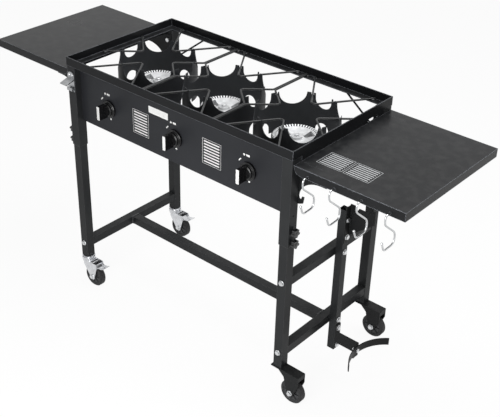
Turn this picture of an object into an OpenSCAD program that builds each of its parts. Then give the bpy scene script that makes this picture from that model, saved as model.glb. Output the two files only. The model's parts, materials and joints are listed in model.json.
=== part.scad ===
// Three-burner outdoor propane stove cart with two side shelves.
// Units are millimetres. +Z is up, X runs left to right, -Y is the front.
// The origin is on the floor, in the middle of the cart's length and depth.

/* [Cooking frame] */
// Length of the cooking frame, left to right
frame_l = 900; // [760:1:1100]
// Depth of the cooking frame, front to back
frame_d = 466; // [400:1:560]
// Height of the top edge above the floor
top_z = 852; // [780:1:920]
// Height of the angle bar that makes the top edge
angle_h = 28; // [20:1:40]
// Width of the inward ledge of the angle bar
angle_w = 27; // [20:1:34]
// Thickness of the angle bar
angle_t = 2.5; // [2:0.5:4]

/* [Legs] */
// Width of the square lower leg tube
leg_w = 30; // [25:1:34]
// Wall of every square tube
tube_t = 1.5; // [1:0.5:2.5]
// Height of the leg ends above the floor
leg_z0 = 112; // [100:1:125]
// Height of the upper ends of the lower legs
leg_z1 = 702; // [680:1:735]
// Outer width of the sleeve that the leg slides in
sleeve_w = 34; // [33:1:38]
// Height of the lower ends of the sleeves
sleeve_z0 = 548; // [540:1:552]
// Distance between the two clamping holes of a sleeve
clamp_pitch = 36; // [34:1:44]
// Height of the lowest clamping hole
clamp_z = 560; // [558:1:566]
// Distance between the two spare holes above them
spare_pitch = 36; // [20:1:40]

/* [Lower frame] */
// Width of the cross bars and of the stretcher
bar_w = 28; // [22:1:30]
// Underside of the low cross bars and of the stretcher
low_bar_z = 152; // [145:1:175]
// Underside of the high cross bar at the right end
high_bar_z = 407; // [380:1:430]

/* [Control panel] */
// Distance of the panel face behind the face of the frame
panel_set_back = 23; // [18:1:26]
// Height of the lower edge of the panel
panel_z0 = 638; // [610:1:660]
// Thickness of the panel sheet
panel_t = 1.5; // [1:0.5:2.5]
// Height of the control knobs
knob_z = 722; // [715:1:726]

/* [Control knobs] */
// Radius of the knob skirt
knob_r = 28; // [22:1:32]
// Length of the finger bar
knob_bar_l = 46; // [36:1:50]
// Width of the finger bar
knob_bar_w = 12; // [9:1:14]
// Depth of the knob from skirt to finger bar
knob_h = 45; // [32:1:52]
// How far the knob is pushed in before it turns
push_travel = 3; // [2:0.5:3.5]

/* [Burners] */
// Distance between burners
burner_pitch = 283; // [270:1:290]
// Radius of the burner head
burner_r = 74; // [60:1:80]
// Height of the top of the burner head
burner_z = 755; // [748:1:765]
// Number of flame slots round the rim
burner_slots = 48; // [36:1:56]
// Outer radius of the wind ring
ring_r = 127; // [115:1:130]
// Thickness of the wind ring sheet
ring_t = 1.5; // [1:0.5:2.5]
// Lower edge of the wind ring
ring_z0 = 705; // [700:1:709]
// Upper edge of the wind ring
ring_z1 = 836; // [832:1:840]

/* [Pot support wires] */
// Radius of the wire
wire_r = 3; // [2.5:0.25:4]
// Distance of each wire vertex from the burner centre
vertex_r = 62; // [55:1:70]
// Angle between the front axis of a burner and its front posts
front_angle = 18; // [17:0.5:20]
// Angle between the side axis of a burner and its side posts
side_angle = 22; // [20:0.5:23]

/* [Side shelves] */
// Length of a shelf beyond the legs
shelf_l = 348; // [300:1:400]
// How far a shelf stops short of the frame, at the front and at the back
shelf_margin = 4; // [2:0.5:10]
// Height of the shelf top
shelf_z = 811; // [800:1:815]
// Height of the shelf flange
flange_h = 26; // [20:1:32]
// Thickness of the shelf sheet
shelf_t = 1.5; // [1:0.5:2.5]
// How far a shelf lifts on its brackets
shelf_lift = 24; // [16:1:30]

/* [Hooks] */
// Radius of the hook wire
hook_r = 2.5; // [2:0.25:3]
// Distance between hooks
hook_pitch = 85.5; // [70:0.5:95]
// Distance of the first hook from the legs
hook_x0 = 47; // [40:1:60]

/* [Wheels] */
// Radius of all four wheels
wheel_r = 40; // [35:1:42]
// Width of all four wheels
wheel_w = 24; // [20:1:26]
// Radius of the wheel axles
axle_r = 4; // [3:0.25:5]
// How far the caster wheels trail behind their pivot
caster_trail = 32; // [25:1:36]

/* [Tank holder] */
// Underside of the tank post
post_z0 = 53; // [40:1:70]
// Upper end of the tank post
post_z1 = 570; // [540:1:600]
// Outer radius of the tank cradle
cradle_r = 132; // [120:1:150]
// Angle that the cradle covers behind its arm
cradle_back_angle = 52.5; // [41.25:3.75:60]
// Angle that the cradle covers in front of its arm
cradle_front_angle = 41.25; // [30:3.75:60]

/* [Hidden] */
$fn = 48;

// Shared clearances
run_gap = 0.05;      // shaft in a bore
slide_gap = 0.3;     // tube in a tube
side_gap = 0.5;      // wheel hub beside a fork
seat_gap = 0.05;     // between curved faces that are fastened together
bend_lap = 0.2;      // straight rod that runs on into a bend
bend_swell = 0.02;   // extra rod radius in a bend
cut = 1;             // overshoot of a cutting solid

// Frame and legs
hx = frame_l / 2;
hy = frame_d / 2;
rim_z0 = top_z - angle_h;
ledge_z = rim_z0 + angle_t;
sleeve_inset = 1;
sleeve_in = leg_w + 2 * slide_gap;
leg_x = hx - sleeve_inset - sleeve_w / 2;
leg_y = hy - sleeve_inset - sleeve_w / 2;
leg_h = leg_w / 2;
sleeve_h = sleeve_w / 2;
brace_r = 3;
brace_run = 130;
brace_x0 = leg_x - sleeve_h - brace_run;
brace_slope = 0.76;
brace_in = 8;
brace_y = hy - brace_in;
brace_over = 10;

// Bolts
bolt_r = 4;
bolt_head_r = 7.5;
bolt_head_h = 5;
bolt_gap = 0.15;

// Lower frame
bar_h = bar_w / 2;
bar_len = 2 * (leg_y - leg_h);
bar_cap = 2.5;
bolt_in = 14;
bore_fit = 0.5;
cradle_bolt_in = 8;
post_w = 25;
post_x0 = leg_x + bar_h;
post_x1 = post_x0 + post_w;
post_y0 = 8;
post_y1 = post_y0 + post_w;
post_mid_y = (post_y0 + post_y1) / 2;
plate_t = 3;
hanger_h = 124;
hanger_top = 12;
hanger_z1 = post_z1 + hanger_top;
hanger_z0 = hanger_z1 - hanger_h;
hanger_reach = 87;
hanger_foot_up = 18;
hanger_tip_h = 34;
hanger_hook_h = 9;
hanger_hook_w = 10;
hanger_hook_foot_w = 16;
hanger_notch_x = 22;
hanger_notch_foot = 8;
hanger_notch_w = 4;
hanger_notch_in = 2;
hanger_notch_out = 6;
hanger_notch_h = 10;
hanger_rim_h = 2;
hanger_lip_h = 3;
hanger_bolt_low = 18;
hanger_bolt_high = 77;
hanger_bolts = [hanger_z0 + hanger_bolt_low, hanger_z0 + hanger_bolt_high];
arm_flange_h = 90;
arm_flange_up = 5;
arm_flange_z0 = post_z0 + arm_flange_up;
arm_flange_z1 = arm_flange_z0 + arm_flange_h;
arm_up = 27;
arm_h = 44;
arm_z0 = arm_flange_z0 + arm_up;
arm_z1 = arm_z0 + arm_h;
arm_bolt_low = 11;
arm_bolt_high = 77;
arm_bolts = [arm_flange_z0 + arm_bolt_low, arm_flange_z0 + arm_bolt_high];
arm_end_w = 24;
arm_end_over = 3;
arm_end_drop = 15;
arm_end_in = 1;
cradle_t = 3;
cradle_h = 25;
cradle_up = 10;
cradle_z0 = arm_z0 + cradle_up;
cradle_mid_z = cradle_z0 + cradle_h / 2;
cradle_reach = 221;
cradle_x = post_x1 + cradle_reach;
cradle_y = -1;
low_bolt_z = low_bar_z + bar_h;
high_bolt_z = high_bar_z + bar_h;

// Wheels and casters
axle_z = wheel_r;
hub_r = 12;
hub_over = 2.5;
tread_round = 4;
bracket_t = 2.5;
bracket_half = wheel_w / 2 + hub_over + side_gap;
bracket_in = 22;
bracket_out = 82;
wheel_out = 54;
bracket_x0 = leg_x - bracket_in;
bracket_x1 = leg_x + bracket_out;
wheel_x = leg_x + wheel_out;
bracket_top_t = 4;
bracket_z1 = leg_z0;
bracket_low_r = 13;
bracket_lip = 16;
cheek_in = 26;
cheek_lap = 1;
cheek_h = 34;
cheek_back_h = 22;
washer_r = 9;
washer_t = 1;
axle_over = 1;
wheel_recess = 3;
wheel_recess_in = 13;
wheel_wall_in = 10;
race_r = 23;
race_in = 4;
race_up = 3;
race_h = 11;
race_z1 = leg_z0 - race_up;
race_z0 = race_z1 - race_h;
kingpin_r = 6;
fork_plate_t = 7;
fork_plate_l = 26;
fork_plate_z0 = race_z0 - fork_plate_t;
fork_head_r = 21;
fork_back_w = 4;
fork_root_w = 8;
fork_root_h = 18;
fork_toe_w = 4;
fork_step_w = 8;
fork_step_up = 4;
fork_waist_w = 6;
fork_waist_h = 8;
fork_rivet_r = 11;
fork_rivet_h = 3;
caster_x = -leg_x + caster_trail;
plug_gap = 0.2;
plug_w = leg_w - 2 * tube_t - 2 * plug_gap;
plug_h = 22;
brake_ahead = 17;
brake_up = 44;
brake_x = caster_x + brake_ahead;
brake_z = axle_z + brake_up;
brake_pin_r = 3;
// Outline of a brake pedal round its pin, [x, z]
brake_outline = [
  [-7, 1], [-4, 5.5], [3, 5.5], [15, 4.5], [30, 6.5], [40, 11.5],
  [41, 9.8], [31, 4.5], [15, 2], [7, -4], [1, -6.6], [-3, -5]
];

// Burner parts
panel_y = -hy + panel_set_back;
panel_half = leg_x - sleeve_h;
panel_lip = 14;
panel_return = 25;
stem_r = 4;
stem_hole_r = 6;
knob_air = 1;
knob_gap = push_travel + knob_air;
knob_back_y = panel_y - knob_gap;
knob_skirt_h = 6;
knob_disc_r = 22;
knob_disc_h = 6;
knob_fillet = 2;
knob_step = 1;
knob_crown_in = 4;
knob_crown_h = 2;
knob_crown_z = knob_skirt_h + knob_disc_h;
knob_bar_in = 2;
knob_bore_end = 0.5;
stem_out = 22;
stem_tip_y = knob_back_y - stem_out;
stem_in = 8;
stem_end_gap = 2;
manifold_r = 9;
manifold_back = 33;
manifold_drop = 25;
manifold_over = 45;
manifold_end_gap = 17;
manifold_y = panel_y + manifold_back;
manifold_z = knob_z - manifold_drop;
manifold_x0 = -burner_pitch - manifold_over;
manifold_x1 = panel_half - manifold_end_gap;
manifold_t = 2;
manifold_cap_t = 4;
port_r = 4;
valve_w = 22;
valve_back = 6;
valve_l = 36;
valve_half = 12;
valve_y0 = panel_y + valve_back;
valve_y1 = valve_y0 + valve_l;
valve_z0 = knob_z - valve_half;
valve_z1 = knob_z + valve_half;
valve_neck_r = 7;
valve_neck_lap = 1;
orifice_r = 5;
orifice_l = 16;
jet_r = 1;
jet_in = 4;
inlet_r = 7.9;
inlet_hex_r = 11;
inlet_hex_l = 10;
inlet_thread_l = 18;
inlet_nose_l = 5;
inlet_nose_step = 1;
inlet_bore_r = 3;
inlet_plug_l = 12;
inlet_l = inlet_plug_l + inlet_hex_l + inlet_thread_l + inlet_nose_l;
inlet_clear = 2;
head_h = 24;
head_z0 = burner_z - head_h;
dish_r = 60;
hub_top_r = 15;
mix_r = 13;
mix_t = 3;
mix_z = knob_z;
mix_gap = 4;
mix_y1 = valve_y1 + mix_gap;
bell_r = 19;
bell_l = 16;
bell_lip = 3;
bell_flare = 0.6;
mix_in = 6;
head_foot_r = 24;
head_foot_h = 4;
head_cone_r = 40;
head_skirt_in = 10;
head_skirt_h = 3;
head_knee_in = 2;
head_knee_h = 9;
head_wall_h = 12;
head_chamfer = 5;
dish_rim = 4;
dish_edge = 2;
dish_floor_r = 30;
dish_deep = 10;
hub_rim = 3;
hub_drop = 3;
hub_neck = 5;
air_x0 = 24;
air_x1 = 52;
air_w0 = 6;
air_w1 = 16;
air_turn = 60;
slot_w = 4.5;
slot_depth = 15;
slot_h = 9;
strap_w = 26;
strap_t = 3;
strap_bolt_in = 10;
ring_mid_r = ring_r - ring_t / 2;
scallop_r = 29;
scallop_drop = 14;
scallop_z = ring_z1 - scallop_drop;
wide_scallop_r = 42;
arch_r = 25;
arch_up = 15;
arch_z = ring_z0 + arch_up;
notch_gap = 0.8;
notch_w = 2 * (wire_r + notch_gap);
notch_in = 12;
slot_in = 25;
slot_l = 40;

// Wires
wire_z = ledge_z + wire_r;
wire_end_gap = 4;
wire_bend_r = 12;
front_px = ring_mid_r * sin(front_angle);
front_py = ring_mid_r * cos(front_angle);
side_px = ring_mid_r * cos(side_angle);
side_py = ring_mid_r * sin(side_angle);
wire_y_end = hy - angle_t - wire_end_gap;
wire_x_end = hx - angle_t - wire_end_gap;
pair_gap = 0.1;
mid_x = burner_pitch / 2 - wire_r - pair_gap / 2;
mid_slope = 0.9;
mid_vertex = side_px - side_py / mid_slope;
mid_y = (mid_x - mid_vertex) * mid_slope;
front_slope = front_px / (front_py - vertex_r);
front_x_end = front_slope * (wire_y_end - vertex_r);
side_y_end = (wire_x_end - burner_pitch - mid_vertex) * mid_slope;

// Aprons below the ends of the top frame
apron_t = 1.5;
apron_h = 20;
apron_lap = 1;
apron_end_gap = 5;
apron_half = leg_y - sleeve_h - apron_end_gap;
apron_slot_y = 125;
apron_slot_half = 10;
apron_slot_r = 4.5;
apron_slot_drop = 8;
apron_hole_y = 157;
apron_hole_r = 3.5;

// Shelves, gussets and hooks
shelf_gap = 2;
shelf_x0 = leg_x + sleeve_h + shelf_gap;
shelf_x1 = shelf_x0 + shelf_l;
shelf_hy = hy - shelf_margin;
shelf_under = shelf_z - shelf_t;
flange_z0 = shelf_z - flange_h;
flange_edge = 2;
flange_round = flange_h - flange_edge;
gusset_t = 3;
gusset_in = 2;
gusset_y = leg_y - sleeve_h - gusset_t;
gusset_x0 = leg_x - sleeve_h + gusset_in;
gusset_bolt_high = 20;
gusset_bolt_low = 62;
gusset_bolts = [shelf_under - gusset_bolt_high, shelf_under - gusset_bolt_low];
gusset_h = 130;
gusset_foot_w = 34;
gusset_toe_w = 48;
gusset_toe_h = 124;
gusset_tip_w = 51;
gusset_tip_h = 104;
gusset_tip_t = 7;
gusset_bay_w = 41;
gusset_bay_h = 114;
gusset_root_w = 36;
gusset_root_h = 113;
gusset_arc_x = 104;
gusset_arc_h = 106;
gusset_arc_rx = 71;
gusset_arc_rz = 57;
gusset_w = 122;
tab_l = 60;
tab_in = 12;
tab_x0 = shelf_x0 + tab_in;
tab_h = 14;
tab_t = 1.5;
tab_gap = 0.4;
hook_hole_up = 8;
hook_hole_gap = 0.08;
hook_ball_over = 1;
hook_hole_z = flange_z0 + hook_hole_up;
hook_hole_r = hook_r + hook_hole_gap;
hook_ball_r = hook_r + hook_ball_over;
// Path of a hook across the flange, [y, z] from its hole, and the bend radius at each point
hook_path = [[7, -9], [7, 0], [-20, 0], [-20, -26], [36, -74], [34, -106], [-12, -108], [-23, -80]];
hook_bends = [0, 3.5, 8, 24, 28, 14, 15, 0];

// Bottle opener
opener_y = -leg_y - sleeve_h;
opener_t = 2.5;
opener_half = 15;
opener_drop = 32;
opener_h = 50;
opener_z1 = rim_z0 - opener_drop;
opener_z0 = opener_z1 - opener_h;
opener_round = opener_half;
opener_screw_x = 6;
opener_screw_up = 5;
opener_screw_z = opener_z1 + opener_screw_up;
opener_hood = 34;
opener_hood_high = 6;
opener_hood_low = 10;
opener_hood_tip_high = 16;
opener_hood_tip_low = 19;
opener_lip = 8;
opener_lip_in = 3;
opener_lip_z0 = 4;
opener_lip_z1 = 14;
opener_lip_bend = 8;
opener_lip_root = 5;
screw_r = 2;
screw_head_r = 3.6;
screw_tip_r = 2.4;
screw_head_h = 1.6;
screw_in = 1.5;

// Clamp knobs
spare_r = 3;
spare_up = 15;
star_r = 9.5;
star_lobe_r = 4;
star_lobes = 5;
star_h = 11;
star_neck_r = 7;
star_neck_h = 5;
stud_r = 4;
star_gap = 0.3;
star_lap = 1;
stud_tip_gap = 0.05;
stud_tip_x = leg_x + leg_h + stud_tip_gap;
star_x0 = leg_x + sleeve_h + star_gap;

// Shift that puts the middle of the whole depth, from opener to caster, on the origin
middle_shift = (sleeve_h + opener_hood - race_r) / 2;

// Tubes, bolts and sheet shapes

module square_tube(w, h, t) {
  difference() {
    translate([-w / 2, -w / 2, 0])
      cube([w, w, h]);
    translate([-w / 2 + t, -w / 2 + t, -cut])
      cube([w - 2 * t, w - 2 * t, h + 2 * cut]);
  }
}

module along_x() {
  rotate([0, 90, 0])
    children();
}

module along_y() {
  rotate([-90, 0, 0])
    children();
}

module placed() {
  translate([0, middle_shift, 0])
    children();
}

// A hexagon bolt along +Z: the head lies below zero, the shank rises from zero
module hex_bolt(shank) {
  translate([0, 0, -bolt_head_h])
    cylinder(r = bolt_head_r, h = bolt_head_h, $fn = 6);
  cylinder(r = bolt_r, h = shank);
}

// Legs and lower frame

module leg(sx, sy) {
  color("#202123")
    difference() {
      translate([sx * leg_x, sy * leg_y, leg_z0])
        square_tube(leg_w, leg_z1 - leg_z0, tube_t);
      translate([sx * leg_x, sy * (leg_y - leg_w), low_bolt_z])
        along_y()
          cylinder(r = bolt_r + bolt_gap, h = 3 * leg_w, center = true);
      if (sx > 0)
        translate([sx * leg_x, sy * (leg_y - leg_w), high_bolt_z])
          along_y()
            cylinder(r = bolt_r + bolt_gap, h = 3 * leg_w, center = true);
    }
}

module crossbar(x, z) {
  translate([x, -bar_len / 2, z + bar_h])
    difference() {
      translate([-bar_h, 0, -bar_h])
        cube([bar_w, bar_len, bar_w]);
      translate([-bar_h + tube_t, bar_cap, -bar_h + tube_t])
        cube([bar_w - 2 * tube_t, bar_len - 2 * bar_cap, bar_w - 2 * tube_t]);
      translate([0, -cut, 0])
        along_y()
          cylinder(r = bolt_r + bolt_gap, h = bar_len + 2 * cut);
      if (x > 0)
        translate([0, post_mid_y + bar_len / 2, 0])
          along_x()
            cylinder(r = bolt_r + bolt_gap, h = bar_w);
    }
}

module crossbars() {
  color("#202123") {
    crossbar(-leg_x, low_bar_z);
    crossbar(leg_x, low_bar_z);
    crossbar(leg_x, high_bar_z);
  }
}

module stretcher() {
  color("#202123")
    translate([-(leg_x - bar_h), 0, low_bar_z + bar_h])
      along_x()
        square_tube(bar_w, 2 * (leg_x - bar_h), tube_t);
}

module base_bolts() {
  color("#c8cacc") {
    for (sy = [-1, 1]) {
      for (p = [[-leg_x, low_bolt_z], [leg_x, low_bolt_z], [leg_x, high_bolt_z]])
        translate([p[0], sy * (leg_y + leg_h), p[1]])
          rotate([sy * 90, 0, 0])
            hex_bolt(leg_w + bolt_in);
    }
    for (z = [low_bolt_z, high_bolt_z])
      translate([post_x1, post_mid_y, z])
        rotate([0, -90, 0])
          hex_bolt(post_w + bar_h);
    for (z = concat(hanger_bolts, arm_bolts))
      translate([post_x1 + plate_t, post_mid_y, z])
        rotate([0, -90, 0])
          hex_bolt(plate_t + bolt_in);
    translate([cradle_x - cradle_r + cradle_t, cradle_y, cradle_mid_z])
      rotate([0, -90, 0])
        hex_bolt(cradle_t + plate_t + cradle_bolt_in);
  }
}

// Tank holder

module tank_post() {
  color("#202123")
    difference() {
      translate([post_x0 + post_w / 2, post_mid_y, post_z0])
        square_tube(post_w, post_z1 - post_z0, tube_t);
      for (z = concat([low_bolt_z, high_bolt_z], hanger_bolts, arm_bolts))
        translate([post_x0 - cut, post_mid_y, z])
          along_x()
            cylinder(r = bolt_r + bolt_gap, h = post_w + 2 * cut);
    }
}

module bolted_flange(z0, z1, zs) {
  difference() {
    translate([post_x1, post_y0, z0])
      cube([plate_t, post_w, z1 - z0]);
    for (z = zs)
      translate([post_x1 - cut, post_mid_y, z])
        along_x()
          cylinder(r = bolt_r + bolt_gap, h = plate_t + 2 * cut);
  }
}

module tank_hanger() {
  x1 = post_x1 + hanger_reach;
  xn = post_x1 + hanger_notch_x;
  rim = hanger_z1 - hanger_rim_h;
  color("#1b1c1d")
    union() {
      bolted_flange(hanger_z0, hanger_z1, hanger_bolts);
      translate([0, post_y1, 0])
        rotate([90, 0, 0])
          linear_extrude(plate_t)
            polygon([
              [post_x1, hanger_z0 + hanger_foot_up], [x1, hanger_z1 - hanger_tip_h],
              [x1, hanger_z1 + hanger_hook_h], [x1 - hanger_hook_w, hanger_z1 + hanger_hook_h],
              [x1 - hanger_hook_foot_w, rim], [xn + hanger_notch_foot, rim],
              [xn + hanger_notch_w, hanger_z1 - hanger_notch_h],
              [xn - hanger_notch_in, hanger_z1 - hanger_notch_h],
              [xn - hanger_notch_out, hanger_z1 + hanger_lip_h], [post_x1, hanger_z1 + hanger_lip_h]
            ]);
    }
}

module tank_arm() {
  x_tip = cradle_x - cradle_r;
  color("#1b1c1d")
    difference() {
      union() {
        bolted_flange(arm_flange_z0, arm_flange_z1, arm_bolts);
        translate([post_x1, post_y0, arm_z0])
          cube([x_tip + cradle_t - post_x1, plate_t, arm_z1 - arm_z0]);
        translate([x_tip - plate_t, cradle_y - arm_end_w / 2, cradle_z0 - arm_end_drop])
          cube([plate_t + arm_end_in, arm_end_w, cradle_h + arm_end_over + arm_end_drop]);
      }
      translate([cradle_x, cradle_y, arm_z0 - arm_end_drop])
        cylinder(r = cradle_r + seat_gap, h = arm_z1 - arm_z0 + 2 * arm_end_drop, $fn = 96);
      translate([x_tip - 2 * plate_t, cradle_y, cradle_mid_z])
        along_x()
          cylinder(r = bolt_r + bolt_gap, h = 4 * plate_t);
    }
}

module tank_cradle() {
  color("#1b1c1d")
    difference() {
      translate([cradle_x, cradle_y, cradle_z0])
        rotate([0, 0, 180 - cradle_back_angle])
          rotate_extrude(angle = cradle_back_angle + cradle_front_angle, $fn = 96)
            translate([cradle_r - cradle_t, 0])
              square([cradle_t, cradle_h]);
      translate([cradle_x - cradle_r - cut, cradle_y, cradle_mid_z])
        along_x()
          cylinder(r = bolt_r + bolt_gap, h = cradle_t + 2 * cut);
      translate([cradle_x - cradle_r + cradle_t, cradle_y, cradle_mid_z])
        along_x()
          cylinder(r = bolt_head_r + bore_fit, h = cradle_t);
    }
}

// Wheels that do not swivel, at the right end

module wheel_bracket(sy) {
  y0 = sy * leg_y;
  difference() {
    union() {
      translate([bracket_x0, y0 - bracket_half - bracket_t, bracket_z1 - bracket_top_t])
        cube([bracket_x1 - bracket_x0, 2 * (bracket_half + bracket_t), bracket_top_t]);
      for (side = [-1, 1])
        translate([0, y0 + side * (bracket_half + bracket_t / 2) + bracket_t / 2, 0])
          rotate([90, 0, 0])
            linear_extrude(bracket_t)
              union() {
                polygon([
                  [bracket_x0 + cheek_in, bracket_z1 - cheek_lap], [bracket_x1, bracket_z1 - cheek_lap],
                  [bracket_x1, bracket_z1 - cheek_h], [wheel_x + bracket_low_r, axle_z],
                  [wheel_x - bracket_low_r, axle_z], [wheel_x - cheek_in, bracket_z1 - cheek_back_h]
                ]);
                translate([wheel_x, axle_z])
                  circle(r = bracket_low_r);
              }
      translate([bracket_x1 - bracket_t, y0 - bracket_half - bracket_t, bracket_z1 - bracket_lip])
        cube([bracket_t, 2 * (bracket_half + bracket_t), bracket_lip]);
    }
    translate([wheel_x, y0 - 2 * bracket_half, axle_z])
      along_y()
        cylinder(r = axle_r + run_gap, h = 4 * bracket_half);
  }
}

module wheel_brackets() {
  color("#1b1c1d") {
    wheel_bracket(-1);
    wheel_bracket(1);
  }
}

// A hexagon bolt with washer face and nut that runs along Y through a fork
module axle(x, y, half) {
  over = bracket_t + axle_over;
  translate([x, y - half - over, axle_z])
    along_y() {
      cylinder(r = axle_r, h = 2 * (half + over));
      cylinder(r = washer_r, h = washer_t);
      translate([0, 0, -bolt_head_h])
        cylinder(r = bolt_head_r, h = bolt_head_h, $fn = 6);
      translate([0, 0, 2 * (half + over) - washer_t])
        cylinder(r = bolt_head_r, h = bolt_head_h, $fn = 6);
    }
}

module wheel_axles() {
  color("#c8cacc") {
    axle(wheel_x, -leg_y, bracket_half);
    axle(wheel_x, leg_y, bracket_half);
  }
}

module wheel(x, y) {
  half = wheel_w / 2;
  web = half - wheel_recess;
  well_r = wheel_r - wheel_recess_in;
  wall_r = wheel_r - wheel_wall_in;
  color("#151515")
    translate([x, y, axle_z])
      along_y()
        difference() {
          rotate_extrude($fn = 72)
            polygon([
              [0, -half - hub_over], [hub_r, -half - hub_over], [hub_r, -web], [well_r, -web],
              [wall_r, -half], [wheel_r - tread_round, -half], [wheel_r, -half + tread_round],
              [wheel_r, half - tread_round], [wheel_r - tread_round, half], [wall_r, half],
              [well_r, web], [hub_r, web], [hub_r, half + hub_over], [0, half + hub_over]
            ]);
          translate([0, 0, -wheel_w])
            cylinder(r = axle_r + run_gap, h = 2 * wheel_w);
        }
}

// Casters at the left end

module caster_stem(sy) {
  translate([-leg_x, sy * leg_y, 0])
    union() {
      translate([-plug_w / 2, -plug_w / 2, leg_z0])
        cube([plug_w, plug_w, plug_h]);
      translate([0, 0, race_z1])
        cylinder(r = race_r - race_in, h = leg_z0 - race_z1);
      translate([0, 0, race_z0 + side_gap])
        cylinder(r = race_r, h = race_z1 - race_z0 - side_gap);
      translate([0, 0, fork_plate_z0 - side_gap])
        cylinder(r = kingpin_r, h = race_z0 - fork_plate_z0 + 2 * side_gap);
      translate([0, 0, fork_plate_z0 - side_gap - fork_rivet_h])
        cylinder(r = fork_rivet_r, h = fork_rivet_h);
    }
}

module caster_stems() {
  color("#c8cacc") {
    caster_stem(-1);
    caster_stem(1);
  }
}

module caster_fork(sy) {
  x0 = -leg_x;
  color("#d0d2d4")
    difference() {
      union() {
        translate([x0, sy * leg_y, fork_plate_z0])
          cylinder(r = fork_head_r, h = race_z0 - fork_plate_z0);
        translate([x0, sy * leg_y - bracket_half - bracket_t, fork_plate_z0])
          cube([fork_plate_l, 2 * (bracket_half + bracket_t), race_z0 - fork_plate_z0]);
        for (side = [-1, 1])
          translate([0, sy * leg_y + side * (bracket_half + bracket_t / 2) + bracket_t / 2, 0])
            rotate([90, 0, 0])
              linear_extrude(bracket_t)
                union() {
                  polygon([
                    [x0 - fork_back_w, race_z0], [brake_x + fork_toe_w, race_z0],
                    [brake_x + fork_step_w, brake_z + fork_step_up],
                    [brake_x + fork_waist_w, brake_z - fork_waist_h], [caster_x + hub_r, axle_z],
                    [caster_x - hub_r, axle_z], [x0 - fork_root_w, race_z0 - fork_root_h]
                  ]);
                  translate([caster_x, axle_z])
                    circle(r = hub_r);
                }
      }
      translate([x0, sy * leg_y, 0])
        cylinder(r = kingpin_r + run_gap, h = 2 * race_z0);
      translate([caster_x, sy * leg_y - 2 * bracket_half, axle_z])
        along_y()
          cylinder(r = axle_r + run_gap, h = 4 * bracket_half);
      translate([brake_x, sy * leg_y - 2 * bracket_half, brake_z])
        along_y()
          cylinder(r = brake_pin_r + run_gap, h = 4 * bracket_half);
    }
}

module caster_axle(sy) {
  color("#c8cacc")
    axle(caster_x, sy * leg_y, bracket_half);
}

module caster_brake(sy) {
  half = bracket_half - side_gap;
  color("#b4b7bb")
    translate([brake_x, sy * leg_y, brake_z])
      union() {
        translate([0, -bracket_half - bracket_t, 0])
          along_y()
            cylinder(r = brake_pin_r, h = 2 * (bracket_half + bracket_t));
        rotate([90, 0, 0])
          translate([0, 0, -half])
            linear_extrude(2 * half)
              polygon(brake_outline);
      }
}

// Cooking frame

module top_frame() {
  color("#202123")
    union() {
      difference() {
        translate([-hx, -hy, rim_z0])
          cube([frame_l, frame_d, angle_h]);
        translate([-hx + angle_t, -hy + angle_t, ledge_z])
          cube([frame_l - 2 * angle_t, frame_d - 2 * angle_t, angle_h]);
        translate([-hx + angle_w, -hy + angle_w, rim_z0 - cut])
          cube([frame_l - 2 * angle_w, frame_d - 2 * angle_w, angle_h]);
      }
      for (side = [-1, 1]) {
        back_brace(side);
        end_apron(side);
      }
    }
}

// A plate below the end of the frame that closes the gap to the shelf, with a slot and a hole
module end_apron(side) {
  difference() {
    translate([side * (hx - apron_t / 2) - apron_t / 2, -apron_half, rim_z0 - apron_h])
      cube([apron_t, 2 * apron_half, apron_h + apron_lap]);
    translate([side * hx, apron_slot_y, rim_z0 - apron_slot_drop])
      rotate([0, 90, 0])
        linear_extrude(4 * apron_t, center = true)
          hull()
            for (end = [-1, 1])
              translate([0, end * apron_slot_half])
                circle(r = apron_slot_r);
    translate([side * hx, apron_hole_y, rim_z0 - apron_slot_drop])
      rotate([0, 90, 0])
        cylinder(r = apron_hole_r, h = 4 * apron_t, center = true);
  }
}

// A diagonal rod from the back ledge down to the sleeve
module back_brace(side) {
  run = leg_x - sleeve_h - brace_x0;
  drop = run * brace_slope;
  length = sqrt(run * run + drop * drop);
  intersection() {
    translate([side * brace_x0, brace_y, rim_z0])
      rotate([0, side * (90 + atan(brace_slope)), 0])
        translate([0, 0, -brace_over])
          cylinder(r = brace_r, h = length + 2 * brace_over);
    translate([-(leg_x - sleeve_h), brace_y - brace_over, 0])
      cube([2 * (leg_x - sleeve_h), 2 * brace_over, rim_z0 + angle_t / 2]);
  }
}

module leg_sleeve(sx, sy) {
  difference() {
    translate([sx * leg_x, sy * leg_y, sleeve_z0])
      difference() {
        translate([-sleeve_h, -sleeve_h, 0])
          cube([sleeve_w, sleeve_w, rim_z0 - sleeve_z0]);
        translate([-sleeve_in / 2, -sleeve_in / 2, -cut])
          cube([sleeve_in, sleeve_in, rim_z0 - sleeve_z0 + 2 * cut]);
      }
    for (i = [0, 1])
      translate([sx * leg_x, sy * leg_y, clamp_z + i * clamp_pitch])
        rotate([0, sx * 90, 0])
          cylinder(r = stud_r + run_gap, h = sleeve_w);
    for (i = [0, 1])
      translate([sx * leg_x, sy * leg_y, clamp_z + clamp_pitch + spare_up + i * spare_pitch])
        rotate([0, sx * 90, 0])
          cylinder(r = spare_r, h = sleeve_w);
    for (z = gusset_bolts)
      translate([sx * leg_x, 0, z])
        rotate([-sy * 90, 0, 0])
          cylinder(r = bolt_r + bolt_gap, h = leg_y);
  }
}

module leg_sleeves() {
  color("#202123")
    difference() {
      for (sx = [-1, 1])
        for (sy = [-1, 1])
          leg_sleeve(sx, sy);
      for (side = [-1, 1])
        translate([-leg_x + side * opener_screw_x, opener_y - cut, opener_screw_z])
          along_y()
            cylinder(r = screw_r + bolt_gap, h = sleeve_h);
    }
}

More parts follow.
